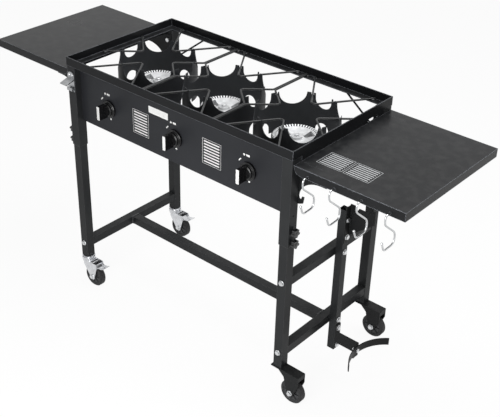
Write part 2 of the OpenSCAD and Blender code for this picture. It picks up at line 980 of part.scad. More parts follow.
module control_panel() {
  w = 2 * panel_half;
  color("#2b2c2e")
    difference() {
      union() {
        translate([-panel_half, panel_y, panel_z0])
          cube([w, panel_t, rim_z0 - panel_z0]);
        translate([-panel_half, panel_y, panel_z0])
          cube([w, panel_lip, panel_t]);
        for (side = [0, 1])
          translate([-panel_half + side * (w - panel_t), panel_y, panel_z0])
            cube([panel_t, panel_return, rim_z0 - panel_z0]);
      }
      for (i = [-1:1])
        translate([i * burner_pitch, panel_y - cut, knob_z])
          along_y()
            cylinder(r = stem_hole_r, h = 3 * cut + panel_t);
      translate([panel_half - cut - panel_t, manifold_y, manifold_z])
        along_x()
          cylinder(r = inlet_hex_r + inlet_clear, h = 2 * cut + panel_t);
    }
}

// Wind rings and burners

module wind_ring(i) {
  color("#1d1e1f")
    translate([i * burner_pitch, 0, 0])
      union() {
        difference() {
          translate([0, 0, ring_z0])
            cylinder(r = ring_r, h = ring_z1 - ring_z0, $fn = 96);
          translate([0, 0, ring_z0 - cut])
            cylinder(r = ring_r - ring_t, h = ring_z1 - ring_z0 + 2 * cut, $fn = 96);
          for (a = [0:90:270])
            rotate([0, 0, a]) {
              radial_slot(scallop_r, scallop_z, ring_z1 + cut);
              radial_slot(arch_r, arch_z, ring_z0 - cut);
              for (side = [-1, 1])
                rotate([0, 0, side * (a % 180 == 0 ? side_angle : front_angle)])
                  translate([ring_r - notch_in, -notch_w / 2, ledge_z])
                    cube([2 * notch_in, notch_w, ring_z1]);
            }
          for (a = [45:90:315])
            rotate([0, 0, a])
              radial_slot(wide_scallop_r, ring_z1, ring_z1 + cut);
        }
        rotate([0, 0, 45])
          difference() {
            intersection() {
              translate([-ring_r, -strap_w / 2, ring_z0])
                cube([2 * ring_r, strap_w, strap_t]);
              translate([0, 0, ring_z0 - cut])
                cylinder(r = ring_r - ring_t / 2, h = 3 * strap_t, $fn = 96);
            }
            translate([0, 0, ring_z0 - cut])
              cylinder(r = bolt_r + bolt_gap, h = 3 * strap_t);
          }
      }
}

// A round-ended opening through one wall of the ring, from its centre to an edge
module radial_slot(r, z, z_open) {
  translate([ring_r - slot_in, 0, z])
    along_x()
      cylinder(r = r, h = slot_l);
  z_low = min(z, z_open);
  translate([ring_r - slot_in, -r, z_low])
    cube([slot_l, 2 * r, abs(z_open - z)]);
}

module burner(i) {
  color("#c9ccce")
    translate([i * burner_pitch, 0, 0])
      difference() {
        union() {
          difference() {
            translate([0, 0, head_z0])
              rotate_extrude($fn = 96)
                polygon([
                  [0, -head_foot_h], [head_foot_r, -head_foot_h], [head_cone_r, 0],
                  [burner_r - head_skirt_in, head_skirt_h], [burner_r - head_knee_in, head_knee_h],
                  [burner_r, head_wall_h], [burner_r, head_h - head_chamfer],
                  [burner_r - head_chamfer, head_h], [dish_r + dish_rim, head_h],
                  [dish_r, head_h - dish_edge], [dish_floor_r, head_h - dish_deep],
                  [hub_top_r + hub_rim, head_h - dish_deep], [hub_top_r, head_h - hub_drop],
                  [0, head_h - hub_drop]
                ]);
            for (k = [0:burner_slots - 1])
              rotate([0, 0, k * 360 / burner_slots])
                translate([burner_r - slot_depth, -slot_w / 2, burner_z - slot_h])
                  cube([2 * slot_depth, slot_w, 2 * slot_h]);
            for (k = [0:2])
              rotate([0, 0, k * 120 + air_turn])
                translate([0, 0, head_z0 - 2 * head_foot_h])
                  linear_extrude(2 * head_h)
                    polygon([[air_x0, -air_w0], [air_x1, -air_w1], [air_x1, air_w1], [air_x0, air_w0]]);
          }
          translate([0, 0, ring_z0 + strap_t])
            cylinder(r = hub_top_r + hub_neck, h = head_z0 - ring_z0 - strap_t);
          translate([0, mix_y1, mix_z])
            along_y()
              rotate_extrude()
                polygon([
                  [0, 0], [bell_r, 0], [bell_r, bell_lip], [mix_r, bell_l], [mix_r, -mix_y1], [0, -mix_y1]
                ]);
        }
        translate([0, 0, ring_z0])
          cylinder(r = bolt_r + bolt_gap, h = strap_t + strap_bolt_in + cut);
        translate([0, mix_y1 - cut, mix_z])
          along_y()
            rotate_extrude()
              polygon([
                [0, 0], [bell_r - mix_t + bell_flare, 0], [bell_r - mix_t, bell_lip],
                [mix_r - mix_t, bell_l + cut], [mix_r - mix_t, -mix_y1 - mix_in], [0, -mix_y1 - mix_in]
              ]);
      }
}

// Pot support wires: plan paths that are bent at their inner points

function unit(v) = v / norm(v);

// A round rod in the XY plane through the points p, with one bend radius for each point
module bent_rod(p, bends, r) {
  n = len(p);
  back = [for (i = [0:n - 1]) i == 0 || i == n - 1 ? 0
    : bends[i] * tan((180 - acos(unit(p[i - 1] - p[i]) * unit(p[i + 1] - p[i]))) / 2)];
  for (i = [0:n - 2]) {
    d = unit(p[i + 1] - p[i]);
    lap0 = i == 0 ? 0 : bend_lap;
    lap1 = i == n - 2 ? 0 : bend_lap;
    start = p[i] + d * (back[i] - lap0);
    translate([start[0], start[1], 0])
      rotate([0, 0, atan2(d[1], d[0])])
        along_x()
          cylinder(r = r, h = norm(p[i + 1] - p[i]) - back[i] - back[i + 1] + lap0 + lap1, $fn = 32);
  }
  for (i = [1:n - 2]) {
    u = unit(p[i - 1] - p[i]);
    v = unit(p[i + 1] - p[i]);
    inner = acos(u * v);
    middle = p[i] + unit(u + v) * bends[i] / sin(inner / 2);
    translate([middle[0], middle[1], 0])
      rotate([0, 0, atan2(-(u + v)[1], -(u + v)[0]) - (180 - inner) / 2])
        rotate_extrude(angle = 180 - inner, $fn = 48)
          translate([bends[i], 0])
            circle(r = r + bend_swell, $fn = 32);
  }
}

module wire_path(p) {
  bent_rod(p, [for (q = p) wire_bend_r], wire_r);
}

module pot_wires() {
  color("#232425")
    translate([0, 0, wire_z]) {
      for (i = [-1:1])
        translate([i * burner_pitch, 0, 0])
          for (sy = [-1, 1])
            wire_path([[-front_x_end, sy * wire_y_end], [0, sy * vertex_r], [front_x_end, sy * wire_y_end]]);
      for (sx = [-1, 1])
        translate([sx * burner_pitch, 0, 0])
          wire_path([
            [sx * (wire_x_end - burner_pitch), -side_y_end], [sx * mid_vertex, 0],
            [sx * (wire_x_end - burner_pitch), side_y_end]
          ]);
      for (i = [-1:1])
        for (sx = [-1, 1])
          if (i * sx < 1)
            translate([i * burner_pitch, 0, 0])
              wire_path([
                [sx * mid_x, -wire_y_end], [sx * mid_x, -mid_y], [sx * mid_vertex, 0],
                [sx * mid_x, mid_y], [sx * mid_x, wire_y_end]
              ]);
    }
}

// Gas train behind the panel

module gas_manifold() {
  color("#3a3b3d")
    difference() {
      translate([manifold_x0, manifold_y, manifold_z])
        along_x()
          difference() {
            cylinder(r = manifold_r, h = manifold_x1 - manifold_x0);
            translate([0, 0, manifold_cap_t])
              cylinder(r = manifold_r - manifold_t, h = manifold_x1 - manifold_x0);
          }
      for (i = [-1:1])
        translate([i * burner_pitch, manifold_y, manifold_z])
          cylinder(r = port_r, h = 2 * manifold_r);
    }
}

module inlet_fitting() {
  color("#c9a24a")
    translate([manifold_x1, manifold_y, manifold_z])
      along_x()
        difference() {
          union() {
            translate([0, 0, -inlet_plug_l])
              cylinder(r = manifold_r - manifold_t - run_gap, h = inlet_plug_l);
            cylinder(r = inlet_hex_r, h = inlet_hex_l, $fn = 6);
            cylinder(r = inlet_r, h = inlet_hex_l + inlet_thread_l);
            translate([0, 0, inlet_hex_l + inlet_thread_l])
              cylinder(r1 = inlet_r - inlet_nose_step, r2 = inlet_bore_r + inlet_nose_step, h = inlet_nose_l);
          }
          translate([0, 0, -inlet_plug_l - cut])
            cylinder(r = inlet_bore_r, h = inlet_l + 2 * cut);
        }
}

module gas_valve(i) {
  translate([i * burner_pitch, 0, 0])
    difference() {
      union() {
        translate([-valve_w / 2, valve_y0, valve_z0])
          cube([valve_w, valve_y1 - valve_y0, valve_z1 - valve_z0]);
        translate([0, manifold_y, manifold_z])
          cylinder(r = valve_neck_r, h = valve_z0 - manifold_z + valve_neck_lap);
        translate([0, valve_y1, knob_z])
          along_y()
            cylinder(r = orifice_r, h = orifice_l);
      }
      translate([-valve_w, manifold_y, manifold_z])
        along_x()
          cylinder(r = manifold_r + seat_gap, h = 2 * valve_w);
      translate([0, valve_y0 - cut, knob_z])
        along_y()
          cylinder(r = stem_r + run_gap, h = stem_in + push_travel + stem_end_gap + cut);
      translate([0, valve_y1 - jet_in, knob_z])
        along_y()
          cylinder(r = jet_r, h = orifice_l + 2 * jet_in);
    }
}

module gas_valves() {
  color("#c9a24a")
    for (i = [-1:1])
      gas_valve(i);
}

module valve_stem(i) {
  color("#b9bcbe")
    translate([i * burner_pitch, stem_tip_y, knob_z])
      along_y()
        cylinder(r = stem_r, h = valve_y0 + stem_in - stem_tip_y);
}

module knob(i) {
  front_y = knob_back_y - knob_h;
  color("#141415")
    translate([i * burner_pitch, 0, knob_z])
      difference() {
        union() {
          translate([0, knob_back_y, 0])
            rotate([90, 0, 0])
              rotate_extrude($fn = 72)
                polygon([
                  [0, 0], [knob_r, 0], [knob_r, knob_skirt_h - knob_fillet],
                  [knob_r - knob_fillet, knob_skirt_h], [knob_disc_r + knob_step, knob_skirt_h],
                  [knob_disc_r, knob_skirt_h + knob_step], [knob_disc_r - knob_step, knob_crown_z],
                  [knob_disc_r - knob_crown_in, knob_crown_z + knob_crown_h], [0, knob_crown_z + knob_crown_h]
                ]);
          translate([0, front_y, 0])
            along_y()
              intersection() {
                translate([-knob_bar_w / 2, -knob_bar_l / 2, 0])
                  cube([knob_bar_w, knob_bar_l, knob_h - knob_bar_in]);
                cylinder(r = knob_bar_l / 2, h = knob_h - knob_bar_in, $fn = 72);
              }
        }
        translate([0, knob_back_y + cut, 0])
          rotate([90, 0, 0])
            cylinder(r = stem_r + run_gap, h = knob_back_y - stem_tip_y + cut + knob_bore_end);
      }
}

// Shelves, brackets and hooks

module gusset(sx, sy) {
  y0 = sy > 0 ? gusset_y : -gusset_y - gusset_t;
  difference() {
    translate([0, y0 + gusset_t, 0])
      rotate([90, 0, 0])
        linear_extrude(gusset_t)
          polygon([for (p = gusset_outline()) [sx * p[0], p[1]]]);
    for (z = gusset_bolts)
      translate([sx * leg_x, y0 - cut, z])
        along_y()
          cylinder(r = bolt_r + bolt_gap, h = gusset_t + 2 * cut);
  }
}

// Outline of a gusset from its lower inner corner: a toe that points up, then an arc to the far end
function gusset_outline() = [for (p = concat(
  [
    [0, gusset_h], [gusset_foot_w, gusset_h], [gusset_toe_w, gusset_toe_h], [gusset_tip_w, gusset_tip_h],
    [gusset_tip_w - gusset_tip_t, gusset_tip_h], [gusset_bay_w, gusset_bay_h], [gusset_root_w, gusset_root_h]
  ],
  [for (a = [180:-9:90]) [gusset_arc_x + gusset_arc_rx * cos(a), gusset_arc_h - gusset_arc_rz * sin(a)]],
  [[gusset_w, gusset_arc_h - gusset_arc_rz], [gusset_w, 0], [0, 0]]
)) [gusset_x0 + p[0], shelf_under - p[1]]];

module shelf_gussets() {
  color("#1b1c1d")
    for (sx = [-1, 1])
      for (sy = [-1, 1])
        gusset(sx, sy);
}

module top_bolts() {
  color("#c8cacc") {
    for (sx = [-1, 1])
      for (sy = [-1, 1])
        for (z = gusset_bolts)
          translate([sx * leg_x, sy * gusset_y, z])
            rotate([-sy * 90, 0, 0])
              hex_bolt(gusset_t + (sleeve_w - sleeve_in) / 2);
    for (side = [-1, 1])
      translate([-leg_x + side * opener_screw_x, opener_y - opener_t, opener_screw_z])
        along_y() {
          translate([0, 0, -screw_head_h])
            cylinder(r1 = screw_tip_r, r2 = screw_head_r, h = screw_head_h);
          cylinder(r = screw_r, h = opener_t + screw_in);
        }
    for (i = [-1:1])
      translate([i * burner_pitch, 0, ring_z0])
        hex_bolt(strap_t + strap_bolt_in);
  }
}

module shelf(sx) {
  color("#26282a")
    difference() {
      union() {
        shelf_box(sx, shelf_x0, shelf_x1, -shelf_hy, shelf_hy, shelf_under, shelf_z);
        shelf_box(sx, shelf_x1 - shelf_t, shelf_x1, -shelf_hy, shelf_hy, flange_z0, shelf_z);
        for (sy = [-1, 1])
          shelf_flange(sx, sy);
        for (sy = [-1, 1])
          for (side = [-1, 1])
            shelf_tab(sx, sy, side);
      }
      if (sx > 0)
        for (k = [0:3])
          translate([hook_x(k), -shelf_hy - cut, hook_hole_z])
            along_y()
              cylinder(r = hook_hole_r, h = shelf_t + 2 * cut, $fn = 32);
    }
}

module shelf_box(sx, xa, xb, ya, yb, za, zb) {
  x = sx > 0 ? xa : -xb;
  translate([x, ya, za])
    cube([xb - xa, yb - ya, zb - za]);
}

// A long flange whose inner lower corner is rounded
module shelf_flange(sx, sy) {
  y0 = sy > 0 ? shelf_hy : -shelf_hy + shelf_t;
  arc = [for (a = [180:9:270]) [shelf_x0 + flange_round + flange_round * cos(a),
    flange_z0 + flange_round + flange_round * sin(a)]];
  pts = concat([[shelf_x0, shelf_z]], arc, [[shelf_x1, flange_z0], [shelf_x1, shelf_z]]);
  translate([0, y0, 0])
    rotate([90, 0, 0])
      linear_extrude(shelf_t)
        polygon([for (p = pts) [sx * p[0], p[1]]]);
}

// Guide tabs under the shelf on both faces of a gusset
module shelf_tab(sx, sy, side) {
  mid = sy * (gusset_y + gusset_t / 2);
  off = side * (gusset_t / 2 + tab_gap + tab_t / 2);
  shelf_box(sx, tab_x0, tab_x0 + tab_l, mid + off - tab_t / 2, mid + off + tab_t / 2,
    shelf_under - tab_h, shelf_under + shelf_t / 2);
}

function hook_x(k) = shelf_x0 + hook_x0 + k * hook_pitch;

module hook(k) {
  tip = hook_path[len(hook_path) - 1];
  color("#d8dadc")
    translate([hook_x(k), -shelf_hy + shelf_t / 2, hook_hole_z])
      rotate([0, 0, 90])
        rotate([90, 0, 0]) {
          bent_rod(hook_path, hook_bends, hook_r);
          translate([tip[0], tip[1], 0])
            sphere(r = hook_ball_r, $fn = 32);
        }
}

// Bottle opener on the front left sleeve

module bottle_opener() {
  x0 = -leg_x;
  color("#b8babc")
    difference() {
      union() {
        translate([0, opener_y, 0])
          rotate([90, 0, 0])
            linear_extrude(opener_t)
              union() {
                translate([x0 - opener_half, opener_z0])
                  square([2 * opener_half, opener_z1 - opener_z0]);
                translate([x0, opener_z1])
                  circle(r = opener_round);
              }
        translate([x0, opener_y, 0])
          rotate([90, 0, 90])
            translate([0, 0, -opener_half])
              linear_extrude(2 * opener_half)
                polygon([
                  [0, opener_z1 - opener_hood_high], [-opener_hood, opener_z1 - opener_hood_tip_high],
                  [-opener_hood, opener_z1 - opener_hood_tip_low], [0, opener_z1 - opener_hood_low]
                ]);
        translate([x0, opener_y, 0])
          rotate([90, 0, 90])
            translate([0, 0, -opener_half + opener_lip_in])
              linear_extrude(2 * (opener_half - opener_lip_in))
                polygon([
                  [0, opener_z0], [-opener_lip - opener_t, opener_z0 + opener_lip_z0],
                  [-opener_lip - opener_t, opener_z0 + opener_lip_z1],
                  [-opener_lip, opener_z0 + opener_lip_z1],
                  [-opener_lip, opener_z0 + opener_lip_bend], [0, opener_z0 + opener_lip_root]
                ]);
      }
      for (side = [-1, 1])
        translate([x0 + side * opener_screw_x, opener_y - 2 * opener_t, opener_screw_z])
          along_y()
            cylinder(r = screw_r + bolt_gap, h = 4 * opener_t);
    }
}

// Star knobs that clamp the sleeves on the legs

module clamp(sx, sy, level) {
  color("#161617")
    translate([0, sy * leg_y, clamp_z + level * clamp_pitch])
      rotate([0, sx * 90, 0]) {
        translate([0, 0, stud_tip_x])
          cylinder(r = stud_r, h = star_x0 - stud_tip_x + star_lap);
        translate([0, 0, star_x0])
          cylinder(r = star_neck_r, h = star_neck_h);
        translate([0, 0, star_x0 + star_neck_h])
          linear_extrude(star_h)
            union() {
              circle(r = star_r);
              for (k = [0:star_lobes - 1])
                rotate([0, 0, k * 360 / star_lobes])
                  translate([star_r, 0])
                    circle(r = star_lobe_r, $fn = 24);
            }
      }
}

placed() leg(-1, -1);  // leg_front_left
placed() leg(1, -1);  // leg_front_right
placed() leg(-1, 1);  // leg_back_left
placed() leg(1, 1);  // leg_back_right
placed() crossbars();
placed() stretcher();
placed() tank_post();
placed() tank_hanger();
placed() tank_arm();
placed() tank_cradle();
placed() wheel_brackets();
placed() wheel_axles();
placed() caster_stems();
placed() base_bolts();
placed() wheel(wheel_x, -leg_y);  // wheel_front
placed() wheel(wheel_x, leg_y);  // wheel_back
placed() caster_fork(-1);  // caster_front_fork
placed() caster_fork(1);  // caster_back_fork
placed() caster_axle(-1);  // caster_front_axle
placed() caster_axle(1);  // caster_back_axle
placed() wheel(caster_x, -leg_y);  // caster_front_wheel
placed() wheel(caster_x, leg_y);  // caster_back_wheel
placed() caster_brake(-1);  // caster_front_brake
placed() caster_brake(1);  // caster_back_brake
placed() top_frame();
placed() leg_sleeves();
placed() control_panel();
placed() wind_ring(-1);  // wind_ring_1
placed() wind_ring(0);  // wind_ring_2
placed() wind_ring(1);  // wind_ring_3
placed() burner(-1);  // burner_1
placed() burner(0);  // burner_2
placed() burner(1);  // burner_3
placed() pot_wires();
placed() gas_manifold();
placed() inlet_fitting();
placed() gas_valves();
placed() shelf_gussets();
placed() top_bolts();
placed() bottle_opener();
placed() valve_stem(-1);  // valve_stem_1
placed() valve_stem(0);  // valve_stem_2
placed() valve_stem(1);  // valve_stem_3
placed() knob(-1);  // knob_1
placed() knob(0);  // knob_2
placed() knob(1);  // knob_3
placed() clamp(-1, -1, 0);  // clamp_front_left_low
placed() clamp(-1, -1, 1);  // clamp_front_left_high
placed() clamp(1, -1, 0);  // clamp_front_right_low
placed() clamp(1, -1, 1);  // clamp_front_right_high
placed() clamp(-1, 1, 0);  // clamp_back_left_low
placed() clamp(-1, 1, 1);  // clamp_back_left_high
placed() clamp(1, 1, 0);  // clamp_back_right_low
placed() clamp(1, 1, 1);  // clamp_back_right_high
placed() shelf(-1);  // shelf_left
placed() shelf(1);  // shelf_right
placed() hook(0);  // hook_1
placed() hook(1);  // hook_2
placed() hook(2);  // hook_3
placed() hook(3);  // hook_4
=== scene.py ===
"""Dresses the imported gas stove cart: finishes, wind rings, small hardware, marks and the studio."""

import sys

import json
import logging
import math
from collections.abc import Iterable, Sequence
from dataclasses import dataclass, field
from enum import Enum

import bmesh
import bpy
from mathutils import Euler, Matrix, Vector

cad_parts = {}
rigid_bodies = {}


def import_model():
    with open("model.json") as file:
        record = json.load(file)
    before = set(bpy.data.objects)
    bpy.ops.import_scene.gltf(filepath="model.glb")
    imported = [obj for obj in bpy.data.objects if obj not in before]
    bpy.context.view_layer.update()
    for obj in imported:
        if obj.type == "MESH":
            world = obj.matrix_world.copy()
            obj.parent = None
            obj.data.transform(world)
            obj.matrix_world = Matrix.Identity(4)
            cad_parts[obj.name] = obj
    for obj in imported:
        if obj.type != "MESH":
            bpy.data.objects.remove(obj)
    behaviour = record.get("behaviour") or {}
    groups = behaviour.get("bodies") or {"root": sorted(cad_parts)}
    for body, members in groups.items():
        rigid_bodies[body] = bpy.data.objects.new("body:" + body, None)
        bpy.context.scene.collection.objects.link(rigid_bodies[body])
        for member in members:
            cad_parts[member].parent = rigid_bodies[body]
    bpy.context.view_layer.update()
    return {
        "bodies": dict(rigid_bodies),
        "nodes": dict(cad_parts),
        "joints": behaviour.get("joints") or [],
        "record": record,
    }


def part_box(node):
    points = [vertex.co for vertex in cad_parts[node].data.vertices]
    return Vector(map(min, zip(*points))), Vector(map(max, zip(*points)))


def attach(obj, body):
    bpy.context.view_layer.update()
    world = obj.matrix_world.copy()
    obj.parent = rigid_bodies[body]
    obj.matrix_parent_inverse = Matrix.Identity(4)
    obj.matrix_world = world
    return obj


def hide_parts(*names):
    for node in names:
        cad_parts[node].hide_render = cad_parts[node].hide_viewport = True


log = logging.getLogger("stove_cart")
Colour = tuple[float, float, float]
MIDDLE_Y = 0.014  # the middle between the legs lies this far behind the frame's origin
BURNER_PITCH = 0.283
BURNER_COLUMNS = (-1, 0, 1)


def shade(colour: Colour, factor: float, lift: float = 0.0) -> Colour:
    """Returns a colour that is darker or paler by a factor and a lift, at most white."""
    return tuple(min(1.0, part * factor + lift) for part in colour)


class Signal:
    """One socket of a node tree that adds Math nodes when it is used in an expression."""

    def __init__(self, graph: "Graph", socket: bpy.types.NodeSocket) -> None:
        """Wraps an output socket of a graph."""
        self.graph = graph
        self.socket = socket

    def math(self, operation: str, *others: "Signal | float") -> "Signal":
        """Returns the result of one Math node.

        Args:
            operation: The Math node's operation.
            others: Its further operands.

        Returns:
            The node's output.
        """
        sockets = dict(enumerate((self, *others)))
        return self.graph.node("ShaderNodeMath", {"operation": operation}, sockets)

    def __add__(self, other: "Signal | float") -> "Signal":
        """Adds."""
        return self.math("ADD", other)

    def __sub__(self, other: "Signal | float") -> "Signal":
        """Subtracts."""
        return self.math("SUBTRACT", other)

    def __rsub__(self, other: float) -> "Signal":
        """Subtracts this signal from a number."""
        return self.graph.node("ShaderNodeMath", {"operation": "SUBTRACT"}, {0: other, 1: self})

    def __mul__(self, other: "Signal | float") -> "Signal":
        """Multiplies."""
        return self.math("MULTIPLY", other)

    def __truediv__(self, other: "Signal | float") -> "Signal":
        """Divides."""
        return self.math("DIVIDE", other)

    def __pow__(self, other: "Signal | float") -> "Signal":
        """Raises to a power."""
        return self.math("POWER", other)

    def __lt__(self, other: "Signal | float") -> "Signal":
        """Gives 1 where this signal is smaller, else 0."""
        return self.math("LESS_THAN", other)

    def __gt__(self, other: "Signal | float") -> "Signal":
        """Gives 1 where this signal is greater, else 0."""
        return self.math("GREATER_THAN", other)

    __radd__ = __add__
    __rmul__ = __mul__

    def clamp(self) -> "Signal":
        """Limits the signal to the range from 0 to 1."""
        return self.math("MAXIMUM", 0.0).math("MINIMUM", 1.0)

    def step(self, low: float, high: float) -> "Signal":
        """Rises evenly from 0 at low to 1 at high."""
        return ((self - low) / (high - low)).clamp()

    def pick(self, inside: "Signal | float", outside: "Signal | float") -> "Signal":
        """Chooses between two values with this mask of 0 or 1."""
        return inside * self + (1.0 - self) * outside


class Graph:
    """A node tree under construction, for a material or for a Geometry Nodes shape."""

    def __init__(self, tree: bpy.types.NodeTree) -> None:
        """Takes over an empty tree."""
        self.tree = tree

    def feed(self, socket: bpy.types.NodeSocket, value: object) -> None:
        """Links a signal to a socket, or sets a plain value on it.

        Args:
            socket: The input socket.
            value: A signal, a number, a colour, a vector or a data block.
        """
        if isinstance(value, Signal):
            self.tree.links.new(value.socket, socket)
        elif isinstance(value, tuple) and socket.type == "RGBA" and len(value) == 3:
            socket.default_value = (*value, 1.0)
        else:
            socket.default_value = value

    def node(
        self,
        kind: str,
        settings: dict | None = None,
        sockets: dict | None = None,
        output: int | str = 0,
    ) -> Signal:
        """Adds one node.

        Args:
            kind: The node's type.
            settings: Its properties, set first.
            sockets: Values or signals for its inputs, by name or index.
            output: The output that is wanted.

        Returns:
            That output.
        """
        made = self.tree.nodes.new(kind)
        for key, value in (settings or {}).items():
            setattr(made, key, value)
        for key, value in (sockets or {}).items():
            self.feed(made.inputs[key], value)
        return Signal(self, made.outputs[output])


class Paint(Graph):
    """A material with one Principled shader."""

    def __init__(self, name: str) -> None:
        """Starts an empty material.

        Args:
            name: Its name.
        """
        self.material = bpy.data.materials.new(name)
        self.material.use_nodes = True
        super().__init__(self.material.node_tree)
        self.tree.nodes.clear()
        self.surface = self.tree.nodes.new("ShaderNodeBsdfPrincipled")
        output = self.tree.nodes.new("ShaderNodeOutputMaterial")
        self.tree.links.new(self.surface.outputs[0], output.inputs[0])

    def dress(self, **values: object) -> None:
        """Sets the Principled shader's sockets, with underscores for blanks."""
        for key, value in values.items():
            self.feed(self.surface.inputs[key.replace("_", " ")], value)

    def place(
        self, scale: tuple[float, float, float] = (1, 1, 1), at: Sequence[float] = (0, 0, 0)
    ) -> Signal:
        """Returns object coordinates, moved and stretched.

        Args:
            scale: Stretch of the pattern along each axis.
            at: The point that becomes the origin, in metres.

        Returns:
            The coordinates.
        """
        where = self.node("ShaderNodeTexCoord", output="Object")
        moved = self.node("ShaderNodeVectorMath", {"operation": "SUBTRACT"}, {0: where, 1: tuple(at)})
        sockets = {"Vector": moved, "Scale": scale}
        return self.node("ShaderNodeMapping", {"vector_type": "POINT"}, sockets)

    def noise(self, scale: float, detail: float = 3.0, where: Signal | None = None) -> Signal:
        """Returns a noise from 0 to 1 with features of 1 / scale metres."""
        sockets = {"Vector": where or self.place(), "Scale": scale, "Detail": detail}
        return self.node("ShaderNodeTexNoise", {}, sockets, "Fac")

    def blend(self, mask: "Signal | float", low: "Signal | Colour", high: "Signal | Colour") -> Signal:
        """Mixes two colours with a mask."""
        return self.node("ShaderNodeMix", {"data_type": "RGBA"}, {0: mask, 6: low, 7: high}, 2)

    def xyz(self, vector: Signal) -> tuple[Signal, Signal, Signal]:
        """Splits a vector.

        Args:
            vector: The vector.

        Returns:
            Its three parts.
        """
        first = self.node("ShaderNodeSeparateXYZ", {}, {0: vector})
        outputs = first.socket.node.outputs
        return first, Signal(self, outputs[1]), Signal(self, outputs[2])

    def edges(self, radius: float) -> tuple[Signal, Signal]:
        """Rounds the shading of sharp edges.

        Args:
            radius: Radius of the rounding in metres.

        Returns:
            The rounded normal, and a mask that is high along the edges.
        """
        rounded = self.node("ShaderNodeBevel", {"samples": 4}, {"Radius": radius})
        flat = self.node("ShaderNodeNewGeometry", output="Normal")
        pair = {0: rounded, 1: flat}
        alike = self.node("ShaderNodeVectorMath", {"operation": "DOT_PRODUCT"}, pair, "Value")
        return rounded, (1.0 - alike).step(0.004, 0.16)

    def relief(
        self, height: Signal, strength: float, depth: float, normal: Signal | None = None
    ) -> Signal:
        """Turns a height into a bumped normal.

        Args:
            height: The height, from 0 to 1.
            strength: Strength of the bump.
            depth: The height in metres that 1 stands for.
            normal: The normal that is bumped, the surface's own if none is given.

        Returns:
            The bumped normal.
        """
        sockets = {"Height": height, "Strength": strength, "Distance": depth}
        if normal is not None:
            sockets["Normal"] = normal
        return self.node("ShaderNodeBump", {}, sockets, "Normal")


@dataclass(frozen=True)
class PowderCoat:
    """A baked powder coat on steel, with a fine orange peel and paler edges that are partly wear and
    partly a painted highlight.
    """

    name: str
    colour: Colour
    roughness: float = 0.42
    peel: float = 900.0
    edge_radius: float = 0.0014
    edge_wear_and_highlight_gain: float = 2.6
    dust: float = 0.05
    gloss: float = 0.10

    def material(self) -> bpy.types.Material:
        """Builds the material.

        Returns:
            The material, with its nodes.
        """
        paint = Paint(self.name)
        broad = paint.noise(5.0, 4.0)
        peel = paint.noise(self.peel, 2.0)
        rounded, edge = paint.edges(self.edge_radius)
        # Edge mask: edges painted paler, partly as wear and partly as a painted highlight, strongest
        # where the edge gain is large.
        wear_and_highlight = (edge * paint.noise(160.0, 4.0).step(0.05, 0.55)).clamp()
        dark, light = shade(self.colour, 0.86), shade(self.colour, 1.16)
        rubbed_and_highlight = shade(self.colour, self.edge_wear_and_highlight_gain, 0.012)
        _, _, up = paint.xyz(paint.node("ShaderNodeNewGeometry", output="Normal"))
        film = (up.step(0.6, 1.0) * paint.noise(38.0, 6.0).step(0.42, 0.8) * self.dust).clamp()
        body = paint.blend(broad.step(0.3, 0.7), dark, light)
        body = paint.blend(wear_and_highlight, body, rubbed_and_highlight)
        body = paint.blend(film, body, (0.30, 0.30, 0.29))
        paint.dress(
            Base_Color=body,
            Roughness=(broad - 0.5) * 0.14 + self.roughness + film * 0.5 - wear_and_highlight * 0.08,
            Metallic=0.0,
            Specular_IOR_Level=self.gloss,
            Normal=paint.relief(peel, 0.16, 0.0003, rounded),
        )
        return paint.material


@dataclass(frozen=True)
class BareSteel:
    """Bright plated or brushed steel with fine lines along one axis."""

    name: str
    colour: Colour
    roughness: float = 0.28
    grain: tuple[float, float, float] = (1.0, 1.0, 0.06)
    line_scale: float = 1500.0
    tarnish: float = 0.35
    edge_radius: float = 0.0005

    def material(self) -> bpy.types.Material:
        """Builds the material.

        Returns:
            The material, with its nodes.
        """
        paint = Paint(self.name)
        lines = paint.noise(self.line_scale, 2.0, paint.place(self.grain))
        cloud = paint.noise(60.0, 4.0)
        rounded, edge = paint.edges(self.edge_radius)
        dull = shade(self.colour, 1.0 - self.tarnish)
        body = paint.blend((cloud * 0.7 + lines * 0.3).step(0.3, 0.62), dull, self.colour)
        paint.dress(
            Base_Color=body,
            Metallic=1.0,
            Roughness=(1.0 - cloud) * 0.22 + self.roughness - 0.1 + lines * 0.08 - edge * 0.05,
            Normal=paint.relief(lines, 0.10, 0.0001, rounded),
        )
        return paint.material


